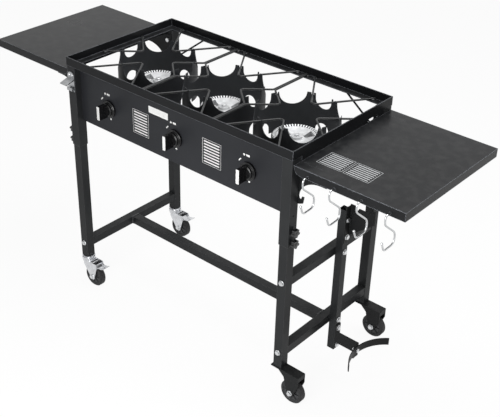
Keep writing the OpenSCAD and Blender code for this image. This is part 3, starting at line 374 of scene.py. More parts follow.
@dataclass(frozen=True)
class CastAluminium:
    """Sand cast aluminium of a burner, greyer and rougher away from its machined rim."""

    name: str
    colour: Colour
    centre: tuple[float, float]
    rim_z: float
    rim_radius: float = 0.074
    dish_radius: float = 0.059
    slot_depth: float = 0.0092

    def material(self) -> bpy.types.Material:
        """Builds the material.

        Returns:
            The material, with its nodes.
        """
        paint = Paint(self.name)
        across, along, up = paint.xyz(paint.place(at=(*self.centre, self.rim_z)))
        radius = (across * across + along * along) ** 0.5
        grit = paint.noise(700.0, 6.0)
        cloud = paint.noise(45.0, 5.0)
        machined = radius.step(self.dish_radius, self.dish_radius + 0.003)
        outside = radius.step(self.rim_radius - 0.001, self.rim_radius + 0.004)
        rounded, _ = paint.edges(0.0012)
        cast = paint.blend(cloud.step(0.3, 0.7), shade(self.colour, 0.56), shade(self.colour, 0.84))
        body = paint.blend(machined, cast, self.colour)
        body = paint.blend(outside * 0.5, body, shade(self.colour, 0.6))
        down = up * -1.0
        # A near-black band is painted on the dish's inner wall below the rim: painted shade in the
        # burner's ports.
        below = down.step(self.slot_depth, self.slot_depth + 0.0006)
        in_slot = down.step(0.0020, 0.0030) * (1.0 - below)
        in_rim = radius.step(self.dish_radius - 0.0004, self.dish_radius) * (1.0 - outside)
        slot_shade = in_slot * in_rim
        body = paint.blend(slot_shade * 0.9, body, shade(self.colour, 0.05))
        paint.dress(
            Base_Color=body,
            Metallic=0.55,
            Roughness=0.66 - machined * 0.12 + (cloud - 0.5) * 0.2,
            Normal=paint.relief(grit * (1.0 - machined * 0.7), 0.35, 0.0004, rounded),
        )
        return paint.material


@dataclass(frozen=True)
class WheelRubber:
    """A moulded wheel: dull tyre, smoother hub disc and a fine ring on the sidewall."""

    name: str
    centre: tuple[float, float, float]
    tyre: Colour = (0.020, 0.020, 0.021)
    disc: Colour = (0.036, 0.037, 0.039)
    disc_radius: float = 0.0285

    def material(self) -> bpy.types.Material:
        """Builds the material.

        Returns:
            The material, with its nodes.
        """
        paint = Paint(self.name)
        across, _, up = paint.xyz(paint.place(at=self.centre))
        radius = (across * across + up * up) ** 0.5
        tyre = radius.step(self.disc_radius - 0.0006, self.disc_radius + 0.0006)
        scuff = paint.noise(140.0, 6.0)
        grit = paint.noise(1600.0, 3.0)
        rings = (radius * 2200.0).math("SINE") * tyre
        body = paint.blend(tyre, self.disc, self.tyre)
        body = paint.blend(scuff.step(0.52, 0.8) * tyre * 0.55, body, shade(self.tyre, 2.4, 0.01))
        paint.dress(
            Base_Color=body,
            Roughness=tyre * 0.22 + 0.40 + (scuff - 0.5) * 0.2,
            Specular_IOR_Level=0.3,
            Normal=paint.relief(grit * 0.5 + rings * 0.5, 0.18, 0.0003),
        )
        return paint.material


@dataclass(frozen=True)
class Plastic:
    """A moulded plastic with a fine spark texture."""

    name: str
    colour: Colour
    roughness: float = 0.35
    texture: float = 1400.0
    depth: float = 0.12
    edge_radius: float = 0.0007
    gloss: float = 0.3

    def material(self) -> bpy.types.Material:
        """Builds the material.

        Returns:
            The material, with its nodes.
        """
        paint = Paint(self.name)
        rounded, edge = paint.edges(self.edge_radius)
        haze = paint.noise(70.0, 4.0)
        light = shade(self.colour, 1.5, 0.01)
        # Edges are painted paler, partly as wear and partly as a painted highlight; the haze is random
        # tone.
        body = paint.blend(haze.step(0.4, 0.9) * 0.3 + edge * 0.35, self.colour, light)
        paint.dress(
            Base_Color=body,
            Roughness=(haze - 0.5) * 0.16 + self.roughness,
            Specular_IOR_Level=self.gloss,
            Normal=paint.relief(paint.noise(self.texture, 2.0), self.depth, 0.0002, rounded),
        )
        return paint.material


@dataclass(frozen=True)
class Ink:
    """Screen printed ink with a faintly broken edge and film thickness."""

    name: str
    colour: Colour
    roughness: float = 0.5

    def material(self) -> bpy.types.Material:
        """Builds the material.

        Returns:
            The material, with its nodes.
        """
        paint = Paint(self.name)
        speckle = paint.noise(2600.0, 4.0)
        cloud = paint.noise(120.0, 3.0)
        cover = (speckle * 0.6 + cloud * 0.4).step(0.25, 0.5)
        paint.dress(
            Base_Color=paint.blend(cover, shade(self.colour, 0.78), self.colour),
            Roughness=(cloud - 0.5) * 0.2 + self.roughness,
            Normal=paint.relief(speckle, 0.08, 0.0001),
        )
        return paint.material


@dataclass(frozen=True)
class WeldMetal:
    """A painted weld bead with small ripples."""

    name: str
    colour: Colour

    def material(self) -> bpy.types.Material:
        """Builds the material.

        Returns:
            The material, with its nodes.
        """
        paint = Paint(self.name)
        ripple = paint.noise(520.0, 4.0)
        paint.dress(
            Base_Color=paint.blend(ripple.step(0.4, 0.7), self.colour, shade(self.colour, 1.7)),
            Roughness=(ripple - 0.5) * 0.3 + 0.42,
            Normal=paint.relief(ripple, 0.4, 0.0006),
        )
        return paint.material


class Body(Enum):
    """Moving bodies of the cart that carry added pieces."""

    BASE = "lower_frame"
    TOP = "cooking_frame"
    SHELF_RIGHT = "shelf_right"
    WHEEL_FRONT = "wheel_front"
    WHEEL_BACK = "wheel_back"
    CASTER_FRONT_WHEEL = "caster_front_wheel"
    CASTER_BACK_WHEEL = "caster_back_wheel"


class Bench:
    """Keeps the frame and the finishes, and turns meshes into pieces that ride on a body."""

    def __init__(self, frame: dict) -> None:
        """Takes the loaded frame.
        """
        self.frame = frame
        self.finishes: dict[str, bpy.types.Material] = {}
        self.made = 0

    def coat(self, finish: object) -> bpy.types.Material:
        """Builds a finish's material when it is first asked for.

        Args:
            finish: The finish.

        Returns:
            Its material.
        """
        if finish.name not in self.finishes:
            self.finishes[finish.name] = finish.material()
        return self.finishes[finish.name]

    def dress_node(self, node: str, finish: object) -> None:
        """Gives a carried-over solid its material.

        Args:
            node: The solid's node.
            finish: Its finish.
        """
        slots = self.frame["nodes"][node].data.materials
        slots.clear()
        slots.append(self.coat(finish))

    def piece(
        self, name: str, mesh: bpy.types.Mesh, finish: object, body: str, slot: str
    ) -> bpy.types.Object:
        """Makes a piece that rides on a body.

        Args:
            name: The piece's name.
            mesh: Its finished mesh, measured from the middle between the legs.
            finish: Its finish.
            body: The body that it moves with.
            slot: The record's material slot; not used.

        Returns:
            The piece.
        """
        mesh.materials.clear()
        mesh.materials.append(self.coat(finish))
        mesh.transform(Matrix.Translation((0.0, MIDDLE_Y, 0.0)))
        thing = bpy.data.objects.new(name, mesh)
        bpy.context.scene.collection.objects.link(thing)
        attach(thing, body)
        self.made += 1
        log.info("%s: %d faces on %s", name, len(mesh.polygons), body)
        return thing


def mesh_from(
    shape: bmesh.types.BMesh, name: str, sharp: float = 32.0, tidy: bool = True
) -> bpy.types.Mesh:
    """Turns an edit mesh into a mesh with outward normals and sharp edges.

    Args:
        shape: The edit mesh, which is freed.
        name: Name of the new mesh.
        sharp: Angle in degrees above which an edge is sharp.
        tidy: Whether doubles are merged and normals recalculated.

    Returns:
        The mesh.
    """
    if tidy:
        bmesh.ops.remove_doubles(shape, verts=shape.verts, dist=1e-6)
        bmesh.ops.recalc_face_normals(shape, faces=shape.faces)
    for face in shape.faces:
        face.smooth = True
    limit = math.radians(sharp)
    for edge in shape.edges:
        edge.smooth = len(edge.link_faces) == 2 and edge.calc_face_angle(0.0) < limit
    mesh = bpy.data.meshes.new(name)
    shape.to_mesh(mesh)
    shape.free()
    return mesh


def lathe(profile: Sequence[tuple[float, float]], sides: int = 48) -> bmesh.types.BMesh:
    """Turns a closed profile round the Z axis.

    Args:
        profile: Radius and height of each point, in metres, from axis to axis.
        sides: Facets round the axis.

    Returns:
        The turned solid.
    """
    shape = bmesh.new()
    turns = [2 * math.pi * k / sides for k in range(sides)]
    rings = []
    for radius, height in profile:
        stops = turns if radius > 1e-7 else turns[:1]
        points = [(radius * math.cos(turn), radius * math.sin(turn), height) for turn in stops]
        rings.append([shape.verts.new(point) for point in points])
    for low, high in zip(rings, rings[1:]):
        for k in range(sides):
            around = ((low, k), (low, k + 1), (high, k + 1), (high, k))
            unique = list(dict.fromkeys(ring[step % len(ring)] for ring, step in around))
            if len(unique) > 2:
                shape.faces.new(unique)
    return shape


def disc_profile(radius: float, height: float, chamfer: float) -> list[tuple[float, float]]:
    """Returns the lathe profile of a disc that is chamfered round its upper edge."""
    edge = [(radius, 0.0), (radius, height - chamfer), (radius - chamfer, height)]
    return [(0.0, 0.0), *edge, (0.0, height)]


def rectangle(width: float, height: float) -> list[tuple[float, float]]:
    """Returns the outline of a rectangle that is centred on the origin."""
    signs = ((-1, -1), (1, -1), (1, 1), (-1, 1))
    return [(sx * width / 2, sy * height / 2) for sx, sy in signs]


def slab(
    outline: Sequence[tuple[float, float]], thickness: float, bevel: float = 0.0
) -> bmesh.types.BMesh:
    """Extrudes a flat outline along Z, with a small bevel.

    Args:
        outline: Corners in the XY plane, anticlockwise, in metres.
        thickness: Height of the slab.
        bevel: Width of the bevel on all edges.

    Returns:
        The slab, standing on Z = 0.
    """
    shape = bmesh.new()
    floor = [shape.verts.new((x, y, 0.0)) for x, y in outline]
    face = shape.faces.new(floor)
    grown = bmesh.ops.extrude_face_region(shape, geom=[face])
    lifted = [item for item in grown["geom"] if isinstance(item, bmesh.types.BMVert)]
    bmesh.ops.translate(shape, verts=lifted, vec=(0, 0, thickness))
    if bevel:
        style = {"segments": 2, "affect": "EDGES", "profile": 0.6}
        bmesh.ops.bevel(shape, geom=shape.edges[:], offset=bevel, **style)
    return shape


def oval(width: float, height: float, radius: float, steps: int = 8) -> list[tuple[float, float]]:
    """Draws a rectangle with rounded corners, centred on the origin.

    Args:
        width: Its width.
        height: Its height.
        radius: Radius of its corners.
        steps: Facets in each corner.

    Returns:
        The outline, anticlockwise.
    """
    points = []
    for quarter, (sx, sy) in enumerate(((1, 1), (-1, 1), (-1, -1), (1, -1))):
        for k in range(steps + 1):
            angle = math.pi / 2 * (quarter + k / steps)
            points.append(
                (
                    sx * (width / 2 - radius) + radius * math.cos(angle),
                    sy * (height / 2 - radius) + radius * math.sin(angle),
                )
            )
    return points


def unit_block(name: str) -> bpy.types.Mesh:
    """Returns a block of 1 m a side that stands on Z = 0, for stretching."""
    return mesh_from(slab(rectangle(1.0, 1.0), 1.0), name)


def weld_nugget() -> bpy.types.Mesh:
    """Makes an uneven weld nugget of 1 m radius, for stretching.

    Returns:
        Its mesh.
    """
    shape = bmesh.new()
    bmesh.ops.create_icosphere(shape, subdivisions=2, radius=1.0)
    for vertex in shape.verts:
        vertex.co *= 1.0 + 0.05 * math.sin(9.0 * vertex.co.x) * math.cos(7.0 * vertex.co.y)
    return mesh_from(shape, "weld_nugget", 80.0)


class ShapeTree(Graph):
    """A Geometry Nodes tree with named inputs, run once into a plain mesh."""

    def __init__(self, name: str) -> None:
        """Starts an empty tree that takes geometry and gives geometry.

        Args:
            name: Its name.
        """
        super().__init__(bpy.data.node_groups.new(name, "GeometryNodeTree"))
        self.tree.interface.new_socket("Geometry", in_out="OUTPUT", socket_type="NodeSocketGeometry")
        self.tree.interface.new_socket("Geometry", in_out="INPUT", socket_type="NodeSocketGeometry")
        self.entry = self.tree.nodes.new("NodeGroupInput")
        self.exit = self.tree.nodes.new("NodeGroupOutput")
        self.named: dict[str, str] = {}

    def size(self, name: str, kind: str = "NodeSocketFloat") -> Signal:
        """Adds a named input.

        Args:
            name: Its name.
            kind: Its socket type.

        Returns:
            Its signal.
        """
        socket = self.tree.interface.new_socket(name, in_out="INPUT", socket_type=kind)
        self.named[name] = socket.identifier
        return Signal(self, next(s for s in self.entry.outputs if s.identifier == socket.identifier))

    def close(self, geometry: Signal, coat: Signal) -> None:
        """Ends the tree in Realize Instances and Set Material.

        Args:
            geometry: The finished geometry.
            coat: Its material.
        """
        solid = self.node("GeometryNodeRealizeInstances", {}, {0: geometry})
        dressed = self.node("GeometryNodeSetMaterial", {}, {"Geometry": solid, "Material": coat})
        self.feed(self.exit.inputs[0], dressed)

    def run(
        self, name: str, seed_mesh: bpy.types.Mesh, values: dict[str, object], finish: Iterable = ()
    ) -> bpy.types.Mesh:
        """Runs the tree on a carrier object and returns the plain mesh.

        Args:
            name: Name of the new mesh.
            seed_mesh: Mesh that enters the tree.
            values: A value for each named input.
            finish: Further modifiers as pairs of type and settings.

        Returns:
            The evaluated mesh, without modifiers.
        """
        carrier = bpy.data.objects.new(name + "_carrier", seed_mesh)
        bpy.context.scene.collection.objects.link(carrier)
        grower = carrier.modifiers.new("shape", "NODES")
        grower.node_group = self.tree
        for key, value in values.items():
            grower[self.named[key]] = value
        for kind, settings in finish:
            extra = carrier.modifiers.new(kind.lower(), kind)
            for key, value in settings.items():
                setattr(extra, key, value)
        view = bpy.context.evaluated_depsgraph_get()
        view.update()
        grown = carrier.evaluated_get(view)
        mesh = bpy.data.meshes.new_from_object(grown, preserve_all_data_layers=False)
        mesh.name = name
        bpy.data.objects.remove(carrier)
        return mesh


@dataclass
class Place:
    """Where one copy of a repeated shape goes."""

    at: tuple[float, float, float]
    turn: tuple[float, float, float] = (0.0, 0.0, 0.0)
    stretch: tuple[float, float, float] = (1.0, 1.0, 1.0)


class Repeater:
    """Repeats one shape at a list of places with Geometry Nodes."""

    SEED = 7

    def __init__(self) -> None:
        """Builds the tree once."""
        self.tree = ShapeTree("repeated_shape")
        tree = self.tree
        item = tree.size("Item", "NodeSocketObject")
        jitter = tree.size("Size jitter")
        seed = tree.size("Seed", "NodeSocketInt")
        coat = tree.size("Coat", "NodeSocketMaterial")
        points = tree.node("GeometryNodeMeshToPoints", {}, {0: Signal(tree, tree.entry.outputs[0])})
        shape = tree.node("GeometryNodeObjectInfo", {}, {"Object": item}, "Geometry")
        turn = self._stored("turn")
        stretch = self._stored("stretch")
        spread = {"Seed": seed, 2: 1.0 - jitter, 3: 1.0 + jitter}
        size = tree.node("FunctionNodeRandomValue", {"data_type": "FLOAT"}, spread, 1)
        scaled = tree.node("ShaderNodeVectorMath", {"operation": "SCALE"}, {0: stretch, "Scale": size})
        facing = tree.node("FunctionNodeEulerToRotation", {}, {0: turn})
        sockets = {"Points": points, "Instance": shape, "Rotation": facing, "Scale": scaled}
        tree.close(tree.node("GeometryNodeInstanceOnPoints", {}, sockets), coat)

    def _stored(self, name: str) -> Signal:
        """Reads a vector that is stored on the places."""
        kind = {"data_type": "FLOAT_VECTOR"}
        return self.tree.node("GeometryNodeInputNamedAttribute", kind, {"Name": name})

    def run(
        self,
        name: str,
        item: bpy.types.Mesh,
        places: Sequence[Place],
        coat: bpy.types.Material,
        jitter: float = 0.0,
    ) -> bpy.types.Mesh:
        """Returns one mesh with a copy of the item at each place.

        Args:
            name: Name of the new mesh.
            item: The shape that is repeated.
            places: Where the copies go.
            coat: The material.
            jitter: Share by which the copies differ in size.

        Returns:
            The mesh of all copies.
        """
        cloud = bpy.data.meshes.new(name + "_places")
        cloud.from_pydata([p.at for p in places], [], [])
        for label, pick in (("turn", lambda p: p.turn), ("stretch", lambda p: p.stretch)):
            layer = cloud.attributes.new(label, "FLOAT_VECTOR", "POINT")
            layer.data.foreach_set("vector", [v for p in places for v in pick(p)])
        pattern = bpy.data.objects.new(name + "_item", item)
        bpy.context.scene.collection.objects.link(pattern)
        values = {"Item": pattern, "Size jitter": jitter, "Seed": self.SEED, "Coat": coat}
        mesh = self.tree.run(name, cloud, values)
        bpy.data.objects.remove(pattern)
        return mesh


class Coats:
    """The finishes of the cart."""

    TUBE = PowderCoat("tube_powder_coat", (0.021, 0.022, 0.023), roughness=0.36, edge_radius=0.0022)
    # Rim and shelf edges take a large edge gain: a painted highlight along their edges.
    RIM = PowderCoat(
        "rim_powder_coat", (0.009, 0.0095, 0.0105), roughness=0.32, edge_radius=0.0028, edge_wear_and_highlight_gain=18.0
    )
    PANEL = PowderCoat("panel_powder_coat", (0.022, 0.023, 0.026), roughness=0.42, peel=1100.0)
    SHELF = PowderCoat(
        "shelf_powder_coat",
        (0.009, 0.0095, 0.0105),
        roughness=0.30,
        peel=1300.0,
        edge_radius=0.0028,
        edge_wear_and_highlight_gain=32.0,
        gloss=0.15,
    )
    PLATE = PowderCoat("plate_powder_coat", (0.012, 0.0125, 0.013), roughness=0.40)
    RING = PowderCoat(
        "ring_heat_paint", (0.031, 0.033, 0.036), roughness=0.50, peel=600.0, edge_radius=0.0009
    )
    WIRE = PowderCoat(
        "wire_paint", (0.013, 0.014, 0.015), roughness=0.30, peel=700.0, edge_wear_and_highlight_gain=1.5, gloss=0.32
    )
    ZINC = BareSteel("zinc_bolts", (0.74, 0.75, 0.76), roughness=0.30)
    STAMPING = BareSteel("zinc_stamping", (0.70, 0.71, 0.73), roughness=0.24, tarnish=0.25)
    CHROME = BareSteel("hook_chrome", (0.60, 0.61, 0.62), roughness=0.16, tarnish=0.2)
    OPENER = BareSteel("opener_steel", (0.42, 0.43, 0.44), roughness=0.30)
    BRASS = BareSteel("turned_brass", (0.72, 0.52, 0.22), roughness=0.30, tarnish=0.3)
    STEM = BareSteel("turned_steel", (0.55, 0.55, 0.56), roughness=0.32)
    KNOB = Plastic("knob_plastic", (0.006, 0.006, 0.0065), roughness=0.24, depth=0.05)
    CLAMP = Plastic("clamp_plastic", (0.006, 0.006, 0.0065), roughness=0.16, depth=0.08, gloss=0.6)
    WHITE = Ink("white_ink", (0.78, 0.78, 0.77))
    LABEL = Ink("pale_ink", (0.42, 0.43, 0.44), roughness=0.42)
    WELD = WeldMetal("painted_weld", (0.028, 0.029, 0.031))


@dataclass
class CookingFrame:
    """Coats and welds of the angle bar frame, its sleeves, panel and wires."""

    bench: Bench
    repeater: Repeater
    length: float = 0.900
    depth: float = 0.466
    ledge: float = 0.8265
    wire: float = 0.003
    bead_x: float = 0.1065
    bead_lean: float = 0.59
    pair_x: float = 0.13845
    side_bead_y: float = 0.0804
    side_lean: float = 0.73
    inset: float = 0.012
    bead_lift: float = 0.0012
    bead_size: tuple[float, float, float] = (0.0042, 0.0062, 0.0022)
    bead_jitter: float = 0.12

    def build(self) -> None:
        """Dresses the solids and adds the weld beads."""
        for node, finish in (
            ("top_frame", Coats.RIM),
            ("leg_sleeves", Coats.TUBE),
            ("control_panel", Coats.PANEL),
            ("pot_wires", Coats.WIRE),
            ("gas_manifold", Coats.PLATE),
            ("inlet_fitting", Coats.BRASS),
            ("gas_valves", Coats.BRASS),
            ("shelf_gussets", Coats.PLATE),
            ("top_bolts", Coats.ZINC),
            ("bottle_opener", Coats.OPENER),
        ):
            self.bench.dress_node(node, finish)
        coat = self.bench.coat(Coats.WELD)
        welds = self.repeater.run("wire_welds", weld_nugget(), self._beads(), coat, self.bead_jitter)
        self.bench.piece("wire_welds", welds, Coats.WELD, Body.TOP.value, "black_steel")

    def _wire_ends(self) -> list[tuple[float, float, float]]:
        """Lists every wire end that is welded to the ledge.

        Returns:
            X, Y and the lean in radians of each.
        """
        edge_x = self.length / 2 - self.inset
        edge_y = self.depth / 2 - self.inset
        ends = []
        for sy in (-1, 1):
            for column in BURNER_COLUMNS:
                middle = column * BURNER_PITCH
                for sx in (-1, 1):
                    ends.append((middle + sx * self.bead_x, sy * edge_y, self.bead_lean * sx * sy))
                    if column * sx < 1:
                        ends.append((middle + sx * self.pair_x, sy * edge_y, 0.0))
        for sx in (-1, 1):
            for sy in (-1, 1):
                lean = math.pi / 2 - self.side_lean * sx * sy
                ends.append((sx * edge_x, sy * self.side_bead_y, lean))
        return ends

    def _beads(self) -> list[Place]:
        """Lists a bead on each side of every wire end.

        Returns:
            A place for each bead.
        """
        places = []
        height = self.ledge + self.bead_lift
        for x, y, lean in self._wire_ends():
            for side in (-1, 1):
                off = side * self.wire * 1.05
                where = (x + off * math.cos(lean), y - off * math.sin(lean), height)
                places.append(Place(where, (0.0, 0.0, -lean), self.bead_size))
        return places


@dataclass
class WindRing:
    """A scalloped wind ring with windows below, and the strap in it that carries the burner."""

    bench: Bench
    number: int
    centre_x: float
    radius: float = 0.127
    sheet: float = 0.0015
    bottom: float = 0.705
    top: float = 0.836
    scallop: float = 0.029
    scallop_z: float = 0.822
    wide_scallop: float = 0.042
    window: float = 0.025
    window_z: float = 0.720
    notch: float = 0.0076
    notch_z: float = 0.8265
    front_angle: float = 18.0
    side_angle: float = 22.0
    strap_width: float = 0.026
    strap_sheet: float = 0.003
    strap_bevel: float = 0.0004
    strap_sink: float = 0.0006

    @staticmethod
    def tree() -> ShapeTree:
        """Builds the tree whose rule gives the ring's upper and lower outline.

        Returns:
            The tree, with a named input for each size.
        """
        tree = ShapeTree("scalloped_ring")
        radius, bottom, top = (tree.size(n) for n in ("Radius", "Bottom", "Top"))
        small, small_z, wide = (tree.size(n) for n in ("Scallop", "Scallop height", "Wide scallop"))
        window, window_z = (tree.size(n) for n in ("Window", "Window height"))
        notch, notch_z = (tree.size(n) for n in ("Notch", "Notch height"))
        front, side = (tree.size(n) for n in ("Front angle", "Side angle"))
        coat = tree.size("Coat", "NodeSocketMaterial")
        sheet = tree.node("GeometryNodeMeshGrid", {}, {0: 1.0, 1: 1.0, 2: 721, 3: 7})
        across = tree.node("ShaderNodeSeparateXYZ", {}, {0: tree.node("GeometryNodeInputPosition")})
        up = Signal(tree, across.socket.node.outputs[1]) + 0.5
        angle = across * (2 * math.pi)
        quarter = math.pi / 4
        near_axis = angle.math("WRAP", quarter, -quarter)
        near_corner = (angle - quarter).math("WRAP", quarter, -quarter)
        off_axis = near_axis.math("SINE") * radius
        off_corner = near_corner.math("SINE") * radius

        def bite(level: Signal, offset: Signal, size: Signal, centre: Signal, sign: float) -> Signal:
            """Cuts a round bite of a given size out of a level."""
            depth = (size * size - offset * offset).math("MAXIMUM", 0.0).math("SQRT")
            return (offset.math("ABSOLUTE") < size).pick(centre + depth * sign, level)

        high = bite(top, off_axis, small, small_z, -1.0)
        high = bite(high, off_corner, wide, top, -1.0)
        sideways = (angle * 2.0).math("COSINE") > 0.0
        post = sideways.pick(side, front)
        in_notch = ((near_axis.math("ABSOLUTE") - post).math("ABSOLUTE") * radius) < notch * 0.5
        high = in_notch.pick(high.math("MINIMUM", notch_z), high)
        low = bite(bottom, off_axis, window, window_z, 1.0)
        height = low + up * (high - low)
        place = {0: angle.math("COSINE") * radius, 1: angle.math("SINE") * radius, 2: height}
        where = tree.node("ShaderNodeCombineXYZ", {}, place)
        bent = tree.node("GeometryNodeSetPosition", {}, {"Geometry": sheet, "Position": where})
        closed = tree.node("GeometryNodeMergeByDistance", {}, {"Geometry": bent, "Distance": 1e-5})
        smooth = tree.node("GeometryNodeSetShadeSmooth", {}, {"Geometry": closed})
        tree.close(smooth, coat)
        return tree

    def build(self, tree: ShapeTree) -> None:
        """Makes the ring and its strap, and puts the ring in place of its solid.

        Args:
            tree: The shared outline tree.
        """
        values = {
            "Radius": self.radius,
            "Bottom": self.bottom,
            "Top": self.top,
            "Scallop": self.scallop,
            "Scallop height": self.scallop_z,
            "Wide scallop": self.wide_scallop,
            "Window": self.window,
            "Window height": self.window_z,
            "Notch": self.notch,
            "Notch height": self.notch_z,
            "Front angle": math.radians(self.front_angle),
            "Side angle": math.radians(self.side_angle),
            "Coat": self.bench.coat(Coats.RING),
        }
        thick = ("SOLIDIFY", {"thickness": self.sheet, "offset": -1.0, "use_even_offset": True})
        name = f"wind_ring_{self.number}_sheet"
        mesh = tree.run(name, bpy.data.meshes.new(name + "_seed"), values, [thick])
        shape = bmesh.new()
        shape.from_mesh(mesh)
        self._weld_strap(shape)
        bmesh.ops.translate(shape, verts=shape.verts, vec=(self.centre_x, 0.0, 0.0))
        mesh = mesh_from(shape, name, 40.0, tidy=False)
        ring = self.bench.piece(name, mesh, Coats.RING, Body.TOP.value, "ring_steel")
        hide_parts(f"wind_ring_{self.number}")

    def _weld_strap(self, shape: bmesh.types.BMesh) -> None:
        """Adds the flat strap across the ring's foot.

        Args:
            shape: The ring, round the Z axis.
        """
        inner = self.radius - self.sheet
        half = self.strap_width / 2
        reach = math.sqrt(inner * inner - half * half) + self.strap_sink
        bar = slab(rectangle(2 * reach, self.strap_width), self.strap_sheet, self.strap_bevel)
        askew = Matrix.Rotation(math.pi / 4, 3, "Z")
        bmesh.ops.rotate(bar, verts=bar.verts, cent=(0, 0, 0), matrix=askew)
        bmesh.ops.translate(bar, verts=bar.verts, vec=(0, 0, self.bottom))
        shape.from_mesh(mesh_from(bar, "strap"))


@dataclass
class Burner:
    """Dresses a burner and adds its centre nut and washer."""

    bench: Bench
    number: int
    centre_x: float
    dish_z: float = 0.752
    rim_z: float = 0.755
    nut: tuple[float, float, float] = (0.0075, 0.0052, 0.0012)
    washer: tuple[float, float, float] = (0.011, 0.0014, 0.0004)
    nut_z: float = 0.0013
    metal: Colour = (0.80, 0.81, 0.82)

    def build(self) -> None:
        """Dresses the casting and adds the nut."""
        name = f"cast_burner_{self.number}"
        finish = CastAluminium(name, self.metal, (self.centre_x, MIDDLE_Y), self.rim_z)
        self.bench.dress_node(f"burner_{self.number}", finish)
        shape = lathe(disc_profile(*self.washer), 40)
        head = lathe(disc_profile(*self.nut), 6)
        bmesh.ops.translate(head, verts=head.verts, vec=(0, 0, self.nut_z))
        shape.from_mesh(mesh_from(head, "nut"))
        bmesh.ops.translate(shape, verts=shape.verts, vec=(self.centre_x, 0, self.dish_z))
        mesh = mesh_from(shape, f"burner_{self.number}_nut")
        self.bench.piece(mesh.name, mesh, Coats.ZINC, Body.TOP.value, "zinc_bolts")


@dataclass(frozen=True)
class RuledField:
    """A thin frame filled with plain rules, all of one length, weight and spacing."""

    width: float
    height: float
    rules: int
    line: float
    share: float
    weight: float
    margin: float = 0.3

    def bars(self) -> list[tuple[float, float, float, float]]:
        """Lists the bars of the frame and the rules.

        Returns:
            For each bar its place across and up from the middle, its width and its height.
        """
        half_width, half_height = self.width / 2, self.height / 2
        bars = [(0.0, up, self.width, self.line) for up in (-half_height, half_height)]
        bars += [(across, 0.0, self.line, self.height) for across in (-half_width, half_width)]
        pitch = self.height / (self.rules + 2 * self.margin)
        for k in range(self.rules):
            up = half_height - (k + 0.5 + self.margin) * pitch
            bars.append((0.0, up, self.width * self.share, pitch * self.weight))
        return bars


@dataclass(frozen=True)
class Mark:
    """One printed mark beside each knob: its size, its rounding and its place."""

    name: str
    width: float
    height: float
    corner: float
    aside: float
    z: float
    tilt: float = 0.0


@dataclass(frozen=True)
class Area:
    """A printed area of the panel: its edges, and its number of rules, none for a blank plate."""

    name: str
    left: float
    right: float
    low: float
    high: float
    rules: int


